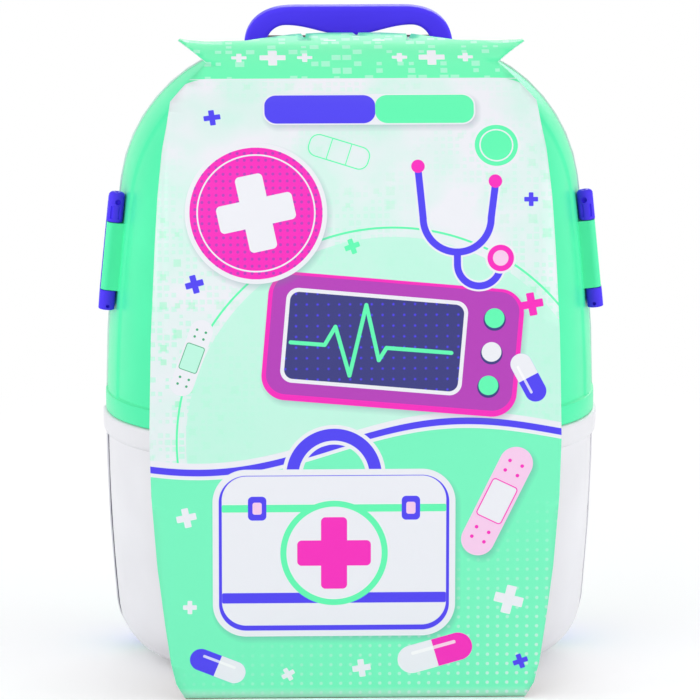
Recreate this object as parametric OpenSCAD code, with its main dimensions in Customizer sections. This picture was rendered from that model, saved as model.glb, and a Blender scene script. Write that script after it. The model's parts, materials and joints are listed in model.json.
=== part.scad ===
// Toy doctor trolley case: a mint domed lid over a white tub and back shell,
// with carry handle, side latches, wheels, pull handle, station fittings,
// play instruments and the printed card wrap it stands in.
// Frame: +Z up, front faces -Y, X to the right, origin on the floor under the middle.

/* [Case] */
// Half of the width at the seam between lid, tub and back shell
half_w = 163; // [150:1:180]
// Height where the tub's rim meets the lid
rim_z = 172; // [150:1:190]
// Distance of the side seam behind the middle of the case
seam_y = 30; // [20:1:40]
// Depth of the bulging front, from the seam to the front of the lid
bulge_d = 129; // [110:1:140]
// Y of the flat back wall
back_y = 84; // [78:1:90]
// Wall thickness of the moulded shells
wall = 2.5; // [1.5:0.1:3.5]
// Radius of the lid's shoulders, seen from the front
shoulder_r = 106; // [80:1:120]
// Squareness of the plan's superellipse
plan_n = 2.3; // [2:0.1:3]
// Squareness of the lid's side view
dome_n = 2.6; // [2:0.1:3.2]

/* [Lid hinge and latches] */
// Height of the lid's hinge axis
hinge_z = 415.5; // [413:0.5:417]
// Diameter of the steel hinge pins
hinge_pin_d = 3; // [2:0.5:4]
// Length of a side latch
latch_h = 79; // [60:1:90]
// Reach of a side latch behind its pivot
latch_reach = 48; // [44:1:52]
// Height of the middle of the latches
latch_z = 283; // [270:1:295]

/* [Carry handle] */
// Width over the carry handle
carry_w = 139; // [120:1:150]
// Height of the top of the carry handle
carry_top = 437; // [432:1:450]
// Width of a leg of the carry handle
carry_leg = 14.5; // [10:0.5:18]
// Thickness of the carry handle, front to back
carry_t = 16; // [12:1:18]

/* [Pull handle and wheels] */
// Travel of the pull handle
pull_travel = 200; // [100:5:220]
// Diameter of a pull rod
rod_d = 11; // [8:0.5:12]
// Distance from the middle to a pull rod
rod_x = 46; // [35:1:55]
// Wheel diameter
wheel_d = 52; // [44:1:56]
// Wheel width
wheel_w = 20; // [14:1:20]
// Diameter of the steel wheel axle
axle_d = 6; // [4:0.5:8]

/* [Card wrap] */
// Thickness of the card
card_t = 1; // [0.8:0.1:1.4]

/* [Hidden] */
$fn = 64;
eps = 0.01;

mint = [0.37, 1.0, 0.72];
violet = [0.30, 0.24, 0.95];
magenta = [0.85, 0.10, 0.78];
white = [0.93, 0.93, 0.95];
steel = [0.72, 0.73, 0.76];

// Outline seen from the front, right half, from arcs that are tangent to each other
side_r = 1128;
side_lean = 8;
crown_lean = 3;
lower_r = 1344;
lower_lean = 5.6;
corner_r = 38;
side_c = [half_w - side_r, rim_z - 2];
shoulder_c = side_c + (side_r - shoulder_r) * [cos(side_lean), sin(side_lean)];
crown_r = shoulder_r + shoulder_c[0] / sin(crown_lean);
crown_c = [0, shoulder_c[1] - (crown_r - shoulder_r) * cos(crown_lean)];
crown_z = crown_c[1] + crown_r;
lower_c = [half_w - lower_r, rim_z - 2];
corner_c = lower_c + (lower_r - corner_r) * [cos(lower_lean), -sin(lower_lean)];
base_z = corner_c[1] - corner_r;

// Skirt band along the lid's lower edge
skirt_h = 13;
skirt_step = 1.2;
band_z = rim_z + skirt_h + skirt_step;

// Tub rim
rim_out = 1.8;
rim_h = 14;
lip_h = 5;
lip_gap = 0.7;

// Joint places
hinge_y = seam_y;
latch_y = -4;
latch_r = 5.3;
latch_x = side_c[0] + sqrt(pow(side_r, 2) - pow(latch_z - side_c[1], 2)) + 0.8;
latch_tilt = asin((latch_z - side_c[1]) / side_r);
knuckle_up = 20;
knuckle_low = 13;
latch_pin_d = 3;
wheel_y = 102 - wheel_d / 2;
wheel_z = wheel_d / 2;
wheel_x = 126;
carry_y = 58;
well_floor = 396;
rod_y = 93;
guide_top = 382;
guide_low = 44;
guide_web = 13;
grip_z = 384;
rod_low = guide_top - pull_travel - 92;
tray_z = 160;
inner_back = back_y - wall;

// ---------- shared functions and shapes ----------

function arc_points(centre, r, from, to, count) =
  [for (i = [0:count]) let (a = from + (to - from) * i / count) centre + r * [cos(a), sin(a)]];

function mirrored(points) = [for (i = [len(points) - 1:-1:0]) [-points[i][0], points[i][1]]];

function superellipse(t, n) = pow(max(0, 1 - pow(t, n)), 1 / n);

// Right half of the lid's arch above a height, drawn in by inset
function arch_half(from_z, inset) = concat(
  arc_points(side_c, side_r - inset, asin((from_z - side_c[1]) / (side_r - inset)), side_lean, 3),
  arc_points(shoulder_c, shoulder_r - inset, side_lean + 7.9, 90 - crown_lean, 9),
  [crown_c + (crown_r - inset) * [0, 1]]
);

// Full outline of the back shell, drawn in by inset
function back_half(inset) = concat(
  arc_points(corner_c, corner_r - inset, -90, -lower_lean, 6),
  arc_points(lower_c, lower_r - inset, -3.4, -1.4, 1),
  arch_half(rim_z, inset)
);
function back_outline(inset) = let (half = back_half(inset))
  concat(half, mirrored([for (i = [0:len(half) - 2]) half[i]]));

// Closed solid through rings of points that all have the same count, each ring
// counterclockwise as seen from the end that the rings run towards
module loft(rings) {
  n = len(rings[0]);
  last = len(rings) - 1;
  polyhedron(
    points = [for (ring = rings) each ring],
    faces = concat(
      [[for (i = [0:n - 1]) i]],
      [[for (i = [n - 1:-1:0]) last * n + i]],
      [for (k = [0:last - 1], i = [0:n - 1]) let (j = (i + 1) % n) [k * n + i, (k + 1) * n + i, (k + 1) * n + j]],
      [for (k = [0:last - 1], i = [0:n - 1]) let (j = (i + 1) % n) [k * n + i, (k + 1) * n + j, k * n + j]]
    )
  );
}

// Rounded rectangle, centred, from squares and circles
module round_rect(w, h, r) {
  square([w - 2 * r, h], center = true);
  square([w, h - 2 * r], center = true);
  for (x = [-1, 1], y = [-1, 1]) translate([x * (w / 2 - r), y * (h / 2 - r)]) circle(r);
}

// Rounded plate standing in the XZ plane, from y0 backwards
module upright_plate(w, h, r, y0, t) {
  translate([0, y0 + t, 0]) rotate([90, 0, 0]) linear_extrude(t) round_rect(w, h, r);
}

module rod_x_axis(d, x0, x1) {
  translate([x0, 0, 0]) rotate([0, 90, 0]) cylinder(d = d, h = x1 - x0);
}

// ---------- case shells ----------

// Sections of the domed lid from the seam forwards
function dome_ring(angle, inset, crease, bottom) =
  let (
    t = pow(sin(angle), 2 / plan_n),
    sx = pow(cos(angle), 2 / plan_n),
    sz = superellipse(t, dome_n),
    y = seam_y - (bulge_d - inset) * t,
    w = half_w - inset,
    low = [[w * sx, bottom], [w * sx, rim_z + skirt_h]],
    high = [for (p = arch_half(band_z, inset + skirt_step + crease))
      [p[0] * sx, band_z + (p[1] - band_z) * sz]],
    half = concat(low, high)
  )
  [for (p = concat(half, mirrored([for (i = [0:len(half) - 2]) half[i]]))) [p[0], y, p[1]]];

dome_angles = [18.5, 24, 32, 40, 48, 56, 63, 70, 76, 81, 84.5];
module dome(inset, bottom, extra) {
  start = [for (p = dome_ring(0.01, inset, 0, bottom)) [p[0], seam_y + extra, p[2]]];
  loft(concat(
    [start],
    [for (a = [8, 16.5]) dome_ring(a, inset, 0, bottom)],
    [for (a = dome_angles) dome_ring(a, inset, skirt_step, bottom)]
  ));
}

// Round part of a hinge knuckle with its arm towards the shell
module hinge_knuckle(x0, x1, arm_y) {
  translate([0, hinge_y, hinge_z]) rod_x_axis(8, x0, x1);
  translate([x0, min(hinge_y, hinge_y + arm_y), hinge_z - 4]) cube([x1 - x0, abs(arm_y), 5]);
}

module latch_frame(side) {
  translate([side * latch_x, latch_y, latch_z]) rotate([0, -side * latch_tilt, 0])
    mirror([side < 0 ? 1 : 0, 0, 0]) children();
}

latch_bar_low = -latch_h / 2 + knuckle_low;
latch_bar_high = latch_h / 2 - knuckle_up;

module lid() color(mint) {
  difference() {
    dome(0, rim_z + 0.4, -0.4);
    difference() {
      dome(wall, rim_z - 4, 2);
      // backing behind each latch recess
      for (side = [-1, 1]) latch_frame(side) translate([-9, -9, -latch_h / 2 - 3])
        cube([12, 18, latch_h + 6]);
    }
    // room for each latch to turn
    for (side = [-1, 1]) latch_frame(side)
      translate([0, 0, -latch_h / 2 - 1]) cylinder(r = latch_r + 0.7, h = latch_h + 2);
    // gap round the hinge knuckles
    for (side = [-1, 1]) translate([side * 30 - 22, hinge_y - 5, hinge_z - 8])
      cube([44, 12, 14]);
  }
  // rail that each latch turns on
  for (side = [-1, 1]) latch_frame(side) difference() {
    translate([0, 0, latch_bar_low + 0.5]) union() {
      cylinder(r = latch_r - 0.3, h = latch_bar_high - latch_bar_low - 1);
      translate([-8, 0.3 - latch_r, 0]) cube([8, 2 * latch_r - 2, latch_bar_high - latch_bar_low - 1]);
    }
    translate([0, 0, -latch_h]) cylinder(d = latch_pin_d, h = 2 * latch_h);
  }
  for (side = [-1, 1]) difference() {
    hinge_knuckle(side * 30 - 8, side * 30 + 8, -8);
    translate([0, hinge_y, hinge_z]) rod_x_axis(hinge_pin_d + 0.12, side * 30 - 9, side * 30 + 9);
  }
}

module lid_badge() color(violet) {
  intersection() {
    difference() {
      dome(-1.2, rim_z, 0);
      dome(-0.02, rim_z - 4, 2);
    }
    translate([0, -60, 262]) rotate([90, 0, 0]) linear_extrude(60) round_rect(34, 86, 16.9);
  }
}

// Outline of the case's lower half at a height
function low_half_w(z) = z > corner_c[1]
  ? lower_c[0] + sqrt(pow(lower_r, 2) - pow(z - lower_c[1], 2))
  : corner_c[0] + sqrt(pow(corner_r, 2) - pow(z - corner_c[1], 2));
function front_depth(z) = bulge_d - half_w + low_half_w(z);

function plan_ring(z, grow, rear) =
  let (w = low_half_w(z) + grow, d = front_depth(z) + grow, steps = 28)
  concat(
    rear > seam_y ? [[-w, rear, z]] : [],
    [for (i = [steps:-1:0]) let (a = 180 * i / steps)
      [sign(cos(a)) * w * pow(abs(cos(a)), 2 / plan_n), seam_y - d * pow(sin(a), 2 / plan_n), z]],
    rear > seam_y ? [[w, rear, z]] : []
  );

// Height and growth of the tub's outer sections: floor corner, wall, rolled rim, lip inside the lid
tub_outer_levels = [
  [base_z + 0.05, 0], [base_z + 0.8, 0], [base_z + 3, 0], [base_z + 7, 0], [base_z + 14, 0], [base_z + 24, 0],
  [46, 0], [90, 0], [130, 0], [rim_z - rim_h - 1.5, 0], [rim_z - rim_h, 0.8], [rim_z - rim_h + 3, rim_out - 0.2],
  [rim_z - 2.5, rim_out], [rim_z - 0.7, rim_out - 0.5], [rim_z, rim_out - 1.6],
  [rim_z + eps, -wall - lip_gap], [rim_z + lip_h, -wall - lip_gap - 0.3]
];
// The same for the hollow, with the ledge that the tray lies on
tub_inner_levels = [
  [base_z + wall, -wall], [base_z + wall + 3, -wall], [base_z + wall + 8, -wall], [base_z + 18, -wall],
  [46, -wall], [90, -wall], [130, -wall], [tray_z - 4, -wall], [tray_z - 4 + eps, -wall - 5], [tray_z, -wall - 5],
  [tray_z + eps, -wall - lip_gap - 2], [rim_z + lip_h + 1, -wall - lip_gap - 2]
];

module front_tub() color(white) difference() {
  loft([for (level = tub_outer_levels) plan_ring(level[0], level[1], seam_y)]);
  loft([for (level = tub_inner_levels) plan_ring(level[0], level[1], seam_y + 1)]);
}

module tub_panel() color(mint) {
  intersection() {
    difference() {
      loft([for (z = [46, 90, 130, rim_z - rim_h - 1.5]) plan_ring(z, 0.6, seam_y)]);
      loft([for (z = [46, 90, 130, rim_z - rim_h - 1.5]) plan_ring(z, eps, seam_y + 1)]);
    }
    translate([0, -40, 98]) rotate([90, 0, 0]) linear_extrude(80) round_rect(150, 92, 24);
  }
}

// Depth sections of the back shell, from the back wall forwards: y and how far the outline is drawn in
back_sections = [[back_y, 20], [82.6, 15.5], [80, 12], [75, 8.6], [68, 6.2], [55, 3.2], [40, 0.8], [seam_y, 0]];

module back_outer(grow, start) {
  loft([for (s = back_sections)
    [for (p = back_outline(s[1] + grow)) [p[0], (s[0] == seam_y ? start : s[0]) - (s[0] > 60 ? grow : 0), p[1]]]]);
}

// Round well at a lower rear corner, open to the side
well_r = wheel_d / 2 + 6.2;
well_in = wheel_x - wheel_w / 2 - 6;
module wheel_well(side, gap) {
  translate([side * (well_in - gap + 30), wheel_y, wheel_z]) rotate([0, 90, 0])
    cylinder(r = well_r + gap, h = 60, center = true);
}

module back_shell() color(white) {
  difference() {
    back_outer(0, seam_y);
    difference() {
      back_outer(wall, seam_y - 2);
      // lining of the finger well and of the wheel wells
      translate([-82.5, 39.5, well_floor - wall]) cube([165, 60, 40]);
      for (side = [-1, 1]) wheel_well(side, wall);
    }
    translate([0, (42 + back_y - wall) / 2, well_floor]) linear_extrude(60)
      round_rect(160, back_y - wall - 42, 9);
    for (side = [-1, 1]) wheel_well(side, 0);
    translate([0, wheel_y, wheel_z]) rod_x_axis(axle_d, -140, 140);
    // the lid's rear edge turns into this gap
    translate([-68, seam_y - 1, hinge_z - 7]) cube([136, 6, 20]);
  }
  // rail that the tray's rear edge lies on
  translate([-112, 70, tray_z - 5]) cube([224, 12.5, 5]);
  for (side = [-1, 1], inner = [-1, 1]) difference() {
    hinge_knuckle(side * 30 + (inner < 0 ? -20 : 8.4), side * 30 + (inner < 0 ? -8.4 : 20), 10);
    translate([0, hinge_y, hinge_z]) rod_x_axis(hinge_pin_d, side * 30 - 30, side * 30 + 30);
  }
  // catch rib for each latch
  for (side = [-1, 1]) latch_frame(side) translate([-4, 40, -18]) cube([6.4, 3.5, 36]);
}

module hinge_pin(side) color(steel)
  translate([0, hinge_y, hinge_z]) rod_x_axis(hinge_pin_d, side * 30 - 20, side * 30 + 20);
module hinge_pin_left() hinge_pin(-1);
module hinge_pin_right() hinge_pin(1);

// ---------- latches ----------

module latch(side) color(violet) latch_frame(side) {
  difference() {
    union() {
      for (z = [[-latch_h / 2, knuckle_low], [latch_bar_high, knuckle_up]])
        translate([0, 0, z[0]]) cylinder(r = latch_r, h = z[1]);
      difference() {
        translate([0.4, latch_reach / 2, 0]) rotate([90, 0, 90]) linear_extrude(latch_r - 0.4)
          round_rect(latch_reach, latch_h, 13);
        translate([-1, -latch_r - 1, latch_bar_low]) cube([8, 2 * latch_r + 1.6, latch_bar_high - latch_bar_low]);
        // seat of the pale panel
        translate([latch_r - 1.6, 27.5, 0]) rotate([90, 0, 90]) linear_extrude(3) round_rect(31, latch_h - 10, 9);
        // pocket over the catch rib
        translate([-1, 39.4, -19]) cube([4.1, 4.9, 38]);
      }
      // hook behind the catch rib
      translate([-0.3, 44.4, -17]) cube([2, 3.2, 34]);
    }
    translate([0, 0, -latch_h]) cylinder(d = latch_pin_d + 0.12, h = 2 * latch_h);
    // dimple in the face of the upper knuckle and notch under the lower one
    translate([0, 0, latch_h / 2 - 7]) rotate([90, 0, 0]) translate([0, 0, 3]) cylinder(d = 3.4, h = 6);
    translate([0, -latch_r, -latch_h / 2]) cylinder(d = 3, h = 2);
  }
}
module latch_left() latch(-1);
module latch_right() latch(1);

module latch_panel(side) color([0.72, 0.86, 0.98]) latch_frame(side)
  translate([latch_r - 1.6, 27.5, 0]) rotate([90, 0, 90]) linear_extrude(1.1) round_rect(30.6, latch_h - 10.4, 8.8);
module latch_panel_left() latch_panel(-1);
module latch_panel_right() latch_panel(1);

module latch_pin(side) color(steel) latch_frame(side)
  translate([0, 0, -latch_h / 2 + 2.5]) cylinder(d = latch_pin_d, h = latch_h - 6);
module latch_pin_left() latch_pin(-1);
module latch_pin_right() latch_pin(1);

// ---------- carry handle ----------

carry_inner = carry_w / 2 - carry_leg;
grip_arch = 12.5;
palm_swell = 7;
lobe_r = 13;
// Underside of the grip: palm swell in the middle, a finger lobe on each side
function grip_under(x) = let (a = min(1, abs(x) / (carry_inner - lobe_r)))
  carry_top - grip_arch - palm_swell * (0.5 + 0.5 * cos(180 * a));
function carry_inner_half() = concat(
  [for (i = [0:8]) let (x = (carry_inner - lobe_r) * i / 8) [x, grip_under(x)]],
  [for (a = [75:-15:0]) [carry_inner - lobe_r + lobe_r * cos(a), carry_top - grip_arch - lobe_r + lobe_r * sin(a)]],
  [[carry_inner, well_floor - 1]]
);
function carry_outer_half() = concat(
  [for (a = [90:-9:0]) [carry_w / 2 - 31 + 31 * cos(a), carry_top - 25 + 25 * sin(a)]],
  [[carry_w / 2, well_floor]]
);

module carry_handle() color(violet) {
  inner = carry_inner_half();
  outer = carry_outer_half();
  intersection() {
    translate([0, carry_y + carry_t / 2, 0]) rotate([90, 0, 0]) linear_extrude(carry_t) difference() {
      polygon(concat(outer, mirrored(outer)));
      polygon(concat(inner, mirrored([for (i = [1:len(inner) - 1]) inner[i]])));
    }
    translate([-carry_w, carry_y, carry_top - 30]) rotate([90, 0, 90]) linear_extrude(2 * carry_w) {
      translate([0, 15]) round_rect(carry_t, 30, 5);
      translate([-carry_t / 2, -20]) square([carry_t, 36]);
    }
  }
  for (side = [-1, 1]) translate([side * (carry_w / 2 - carry_leg / 2 - 2), carry_y, well_floor])
    linear_extrude(3) round_rect(carry_leg + 10, carry_t + 8, 4);
}

// ---------- pull handle ----------

module pull_guide(side) color(white) {
  translate([side * rod_x, rod_y, guide_low]) linear_extrude(guide_top - guide_low) difference() {
    union() {
      circle(d = rod_d + 5);
      translate([-guide_web / 2, back_y - rod_y]) square([guide_web, rod_y - back_y]);
    }
    circle(d = rod_d + 0.14);
  }
  // screw flange on each side of the web
  for (z = [guide_low + 6, 200, guide_top - 26], flange = [-1, 1])
    translate([side * rod_x + (flange < 0 ? -15 : guide_web / 2), back_y, z]) cube([15 - guide_web / 2, 3, 20]);
}
module pull_guide_left() pull_guide(-1);
module pull_guide_right() pull_guide(1);

module pull_rod(side) color([0.86, 0.86, 0.84])
  translate([side * rod_x, rod_y, rod_low]) cylinder(d = rod_d, h = grip_z - rod_low + 6);
module pull_rod_left() pull_rod(-1);
module pull_rod_right() pull_rod(1);

module pull_grip() color(mint) {
  difference() {
    translate([0, rod_y, grip_z + 9]) rotate([0, 90, 0]) rotate([0, 0, 90])
      translate([0, 0, -62]) linear_extrude(124) round_rect(15, 18, 6);
    for (side = [-1, 1]) translate([side * rod_x, rod_y, grip_z - 1]) cylinder(d = rod_d, h = 7);
    for (i = [-2:2]) translate([i * 10, rod_y - 9, grip_z - 1]) rotate([-90, 0, 0]) cylinder(d = 6, h = 18);
  }
}

// ---------- wheels ----------

// Fender that lines the wheel well and stands a little proud of the shell all round it
fender_proud = 3;
module wheel_housing(side) color(mint) {
  depth = 44;
  intersection() {
    difference() {
      translate([side * (well_in + depth / 2), wheel_y, wheel_z]) rotate([0, 90, 0])
        cylinder(r = well_r, h = depth, center = true);
      translate([side * (well_in + 3 + depth / 2), wheel_y, wheel_z]) rotate([0, 90, 0])
        cylinder(r = wheel_d / 2 + 2.6, h = depth, center = true);
      translate([0, wheel_y, wheel_z]) rod_x_axis(axle_d, -160, 160);
    }
    difference() {
      back_outer(-fender_proud, seam_y);
      translate([-200, -200, -50]) cube([400, 400, 50 + 9]);
    }
  }
}
module wheel_housing_left() wheel_housing(-1);
module wheel_housing_right() wheel_housing(1);

module axle() color(steel)
  translate([0, wheel_y, wheel_z]) rod_x_axis(axle_d, -wheel_x - wheel_w / 2 + 2, wheel_x + wheel_w / 2 - 2);

module wheel(side) color([0.70, 0.66, 0.98])
  translate([side * wheel_x, wheel_y, wheel_z]) rotate([0, 90, 0]) rotate_extrude() translate([17, 0]) {
    translate([4.5, 0]) round_rect(9, wheel_w, 3);
    translate([0, -wheel_w / 2 + 2]) square([3, wheel_w - 4]);
  }
module wheel_left() wheel(-1);
module wheel_right() wheel(1);

module wheel_hub(side) color(violet)
  translate([side * wheel_x, wheel_y, wheel_z]) rotate([0, side * 90, 0]) difference() {
    union() {
      translate([0, 0, -wheel_w / 2 + 2]) cylinder(r = 6, h = wheel_w - 4);
      translate([0, 0, -1.5]) cylinder(r = 17, h = 3);
      translate([0, 0, wheel_w / 2 - 4]) cylinder(r = 17, h = 2);
      for (a = [0:60:300]) rotate([0, 0, a]) translate([5, -1.2, 0]) cube([11.9, 2.4, wheel_w / 2 - 3]);
    }
    translate([0, 0, -wheel_w]) cylinder(d = axle_d + 0.16, h = 2 * wheel_w - 12.5 + 2);
  }
module wheel_hub_left() wheel_hub(-1);
module wheel_hub_right() wheel_hub(1);

// ---------- small parts of the case ----------

module front_feet() color(violet)
  for (x = [-58, 58]) translate([x, -30, card_t]) cylinder(r = 10, h = base_z - card_t + 0.05);

module case_screws() color(steel)
  for (side = [-1, 1], z = [guide_low + 16, 210, guide_top - 16])
    translate([side * (rod_x + 11.2), back_y + 3, z]) rotate([-90, 0, 0]) cylinder(d = 4.4, h = 1.6);

// ---------- station fittings ----------

module tray_plan(grow) {
  ring = plan_ring(tray_z + 4, grow, seam_y);
  polygon([for (p = ring) [p[0], p[1]]]);
  rear = half_w + grow - 1.4;
  polygon([[-rear, seam_y - 1], [rear, seam_y - 1], [rear - 7, 76 + grow + 5.7], [7 - rear, 76 + grow + 5.7]]);
}

module tray() color(mint) {
  difference() {
    translate([0, 0, tray_z]) linear_extrude(5) tray_plan(-wall - 3.2);
    translate([0, 0, tray_z + 2.5]) linear_extrude(5) tray_plan(-wall - 6.5);
  }
}

board_at = [-50, 0, 267];
module back_board() color(mint) translate(board_at) {
  difference() {
    union() {
      upright_plate(140, 164, 14, inner_back - 6, 6);
      translate([42, 0, 64]) upright_plate(56, 56, 27.9, inner_back - 10, 10);
    }
    translate([0, 0, -8]) upright_plate(122, 128, 8, inner_back - 8, 4);
  }
}
module board_panel() color(magenta) translate(board_at + [0, 0, -8])
  upright_plate(121.4, 127.4, 7.8, inner_back - 5.6, 1.6);

module basket() color(white) translate([-52, 0, 212]) difference() {
  translate([0, inner_back - 24, -23]) linear_extrude(46) round_rect(136, 36, 9);
  translate([0, inner_back - 24, -21]) linear_extrude(46) round_rect(132, 32, 7);
  for (i = [-4:4]) translate([i * 13, 20, -14]) {
    translate([-3, 0, 3]) cube([6, 20, 20]);
    for (z = [3, 23]) translate([0, 0, z]) rotate([-90, 0, 0]) cylinder(r = 3, h = 20);
  }
}

light_box_at = [80, 0, 260];
module light_box() color(magenta) translate(light_box_at) difference() {
  upright_plate(90, 146, 20, inner_back - 18, 18);
  for (z = [-33, 33]) translate([0, 0, z]) upright_plate(70, 56, 9, inner_back - 20, 4);
}
module light_box_films() color([0.75, 0.95, 0.88]) translate(light_box_at)
  for (z = [-33, 33]) translate([0, 0, z]) upright_plate(69.4, 55.4, 8.7, inner_back - 17, 1);

// ---------- play instruments, laid in the tray or stood in the basket ----------

module monitor() color(magenta) translate([-70, 8, tray_z + 2.5]) rotate([0, 0, 8]) difference() {
  linear_extrude(20) round_rect(120, 62, 20);
  translate([-8, 0, 17]) linear_extrude(5) round_rect(84, 46, 6);
}
module monitor_screen() color([0.45, 0.85, 0.9]) translate([-70, 8, tray_z + 2.5]) rotate([0, 0, 8])
  translate([-8, 0, 17]) linear_extrude(2) round_rect(83.4, 45.4, 5.7);

syringe_at = [40, -44, tray_z + 2.5 + 13];
module syringe_barrel() color([0.35, 0.40, 0.95]) translate(syringe_at) rotate([0, 90, 0]) {
  difference() {
    union() {
      cylinder(r = 12, h = 62);
      cylinder(r = 13, h = 3);
      translate([-11, -4, 0]) cube([22, 8, 3]);
      translate([0, 0, 62]) cylinder(r1 = 12, r2 = 4, h = 8);
      translate([0, 0, 70]) cylinder(r = 3, h = 10);
    }
    translate([0, 0, -1]) cylinder(r = 10, h = 60);
  }
}
module syringe_plunger() color(magenta) translate(syringe_at) rotate([0, 90, 0]) {
  translate([0, 0, 24]) cylinder(r = 9.95, h = 8);
  for (a = [0, 90]) rotate([0, 0, a]) translate([-8, -1.2, -28]) cube([16, 2.4, 53]);
  translate([0, 0, -31]) cylinder(r = 12.5, h = 4);
}

// One half of the scissors, flat, with its pivot at the middle: finger ring, shank and blade
module scissor_half(side, blade, bore) {
  rotate([0, side * 13, 0]) rotate([90, 0, 0]) linear_extrude(4) difference() {
    union() {
      translate([side * 11, 52]) circle(17);
      polygon([[-5, 4], [5, 4], [side * 3 + 5, 41], [side * 3 - 5, 41]]);
      polygon([[-6, 6], [6, 6], [5.5, -14], [4.5, 8 - blade], [1, -blade], [-1, -blade], [-4.5, 8 - blade], [-5.5, -14]]);
      circle(7);
    }
    translate([side * 11, 52]) circle(11.5);
    circle(d = bore);
  }
}
basket_floor = 212 - 21;
scissor_at = [-86, 56, basket_floor + 47];
module scissor_blade_left() color(violet) translate(scissor_at) scissor_half(-1, 48, 4);
module scissor_blade_right() color(violet) translate(scissor_at + [0, -4.4, 0]) scissor_half(1, 46.6, 4.12);
module scissor_rivet() color(white) translate(scissor_at) rotate([90, 0, 0]) {
  translate([0, 0, -1]) cylinder(d = 4, h = 10);
  translate([0, 0, 8.5]) cylinder(d = 9, h = 1.6);
  translate([0, 0, -1.6]) cylinder(d = 9, h = 1.6);
}

module forceps() color(violet) translate([-28, 60, basket_floor + 63]) rotate([90, 0, 0])
  linear_extrude(8) {
    for (side = [-1, 1]) rotate(side * -5) translate([side * 3.2 - 3, -62]) square([6, 118]);
    translate([0, 56]) circle(10.5);
  }

module thermometer() color(white) translate([-74, -56, tray_z + 2.5 + 6]) rotate([0, 0, -10]) {
  translate([0, 0, -6]) linear_extrude(12) {
    round_rect(70, 18, 8.9);
    translate([44, 0]) round_rect(50, 10, 4.9);
  }
}

module hammer() color(magenta) translate([112, -2, tray_z + 2.5 + 11]) rotate([0, 0, -20]) {
  rotate([90, 0, 0]) translate([0, 0, -21]) cylinder(r = 11, h = 42);
  rotate([0, -90, 0]) cylinder(r = 5.5, h = 84);
}

// ---------- card wrap ----------

card_front_d = bulge_d + 4;
card_top_z = crown_z + 5;
// Outer line of the wrap's front in side view, from the bottom fold up to the crease
function card_dome(i, inset) = let (t = pow(sin(90 * i), 2 / dome_n))
  [seam_y - (card_front_d - inset) * t, band_z + (card_top_z - inset - band_z) * superellipse(t, dome_n)];
function card_line(inset) = concat(
  [[-97 + inset, card_t + 0.4], [-100.6 + inset, 60]],
  [for (k = [24:-1:0]) card_dome(k / 24, inset)]
);
// Outline of the wrap's front as seen from 11 degrees above, right half
view_tilt = 11;
card_outline = [
  [111.5, -30], [111.5, -18.5], [117, -8], [120.5, 6], [124, 30], [129, 69], [132.7, 115], [133.8, 153],
  [132.3, 220], [129.4, 280], [127.6, 310], [124.5, 340], [121.5, 356], [119, 372],
  [95, 398], [112, 412.5], [111, 414], [69, 414], [54, 416.5], [37, 419], [20, 420], [0, 420]
];
module sleeve_front() color(white) intersection() {
  outer = card_line(0);
  inner = card_line(card_t);
  translate([-150, 0, 0]) rotate([90, 0, 90]) linear_extrude(300)
    polygon(concat(outer, [for (i = [len(inner) - 1:-1:0]) inner[i]]));
  rotate([-view_tilt, 0, 0]) translate([0, 300, 0]) rotate([90, 0, 0]) linear_extrude(600)
    polygon(concat(card_outline, mirrored([for (i = [0:len(card_outline) - 2]) card_outline[i]])));
}

back_card_y = 103;
back_card_top_w = 90;
module card_panel_outline() {
  translate([-111, 0]) square([222, 70]);
  polygon([[-111, 70], [-128, 110], [-128, 318], [-back_card_top_w, 386], [-back_card_top_w, 395],
    [back_card_top_w, 395], [back_card_top_w, 386], [128, 318], [128, 110], [111, 70]]);
}
module sleeve_back() color([0.78, 0.68, 0.54]) difference() {
  union() {
    intersection() {
      translate([0, back_card_y, 0]) rotate([90, 0, 0]) linear_extrude(card_t) card_panel_outline();
      translate([-200, 90, card_t + 0.4]) cube([400, 30, 420]);
    }
    // slope over the crown behind the carry handle
    translate([-back_card_top_w, 0, 0]) rotate([90, 0, 90]) linear_extrude(2 * back_card_top_w)
      polygon([[72, 415], [84, 411.5], [back_card_y - 1, 397], [back_card_y, 394],
        [back_card_y - card_t, 394], [back_card_y - 2, 396.2], [83.6, 410.4], [72, 413.9]]);
  }
  translate([-66, 80, 380]) cube([132, back_card_y - 80 - card_t, 60]);
}

module sleeve_bottom() color(white)
  linear_extrude(card_t) polygon([[-111, -97], [111, -97], [111, 40], [107, 44], [107, back_card_y],
    [-107, back_card_y], [-107, 44], [-111, 40]]);

back_shell();
front_tub();
lid();
lid_badge();
tub_panel();
hinge_pin_left();
hinge_pin_right();
latch_left();
latch_right();
latch_panel_left();
latch_panel_right();
latch_pin_left();
latch_pin_right();
carry_handle();
pull_guide_left();
pull_guide_right();
pull_rod_left();
pull_rod_right();
pull_grip();
wheel_housing_left();
wheel_housing_right();
axle();
wheel_left();
wheel_right();
wheel_hub_left();
wheel_hub_right();
front_feet();
case_screws();
tray();
back_board();
board_panel();
basket();
light_box();
light_box_films();
monitor();
monitor_screen();
syringe_barrel();
syringe_plunger();
scissor_blade_left();
scissor_blade_right();
scissor_rivet();
forceps();
thermometer();
hammer();
sleeve_front();
sleeve_back();
sleeve_bottom();
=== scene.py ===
"""Looks of the toy doctor trolley case: moulded shells, latches, handles, wheels, tray and card wrap."""

import json
import logging
import math
from collections.abc import Sequence
from dataclasses import dataclass, field
from enum import Enum

import bmesh
import bpy
from mathutils import Matrix, Vector

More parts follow.
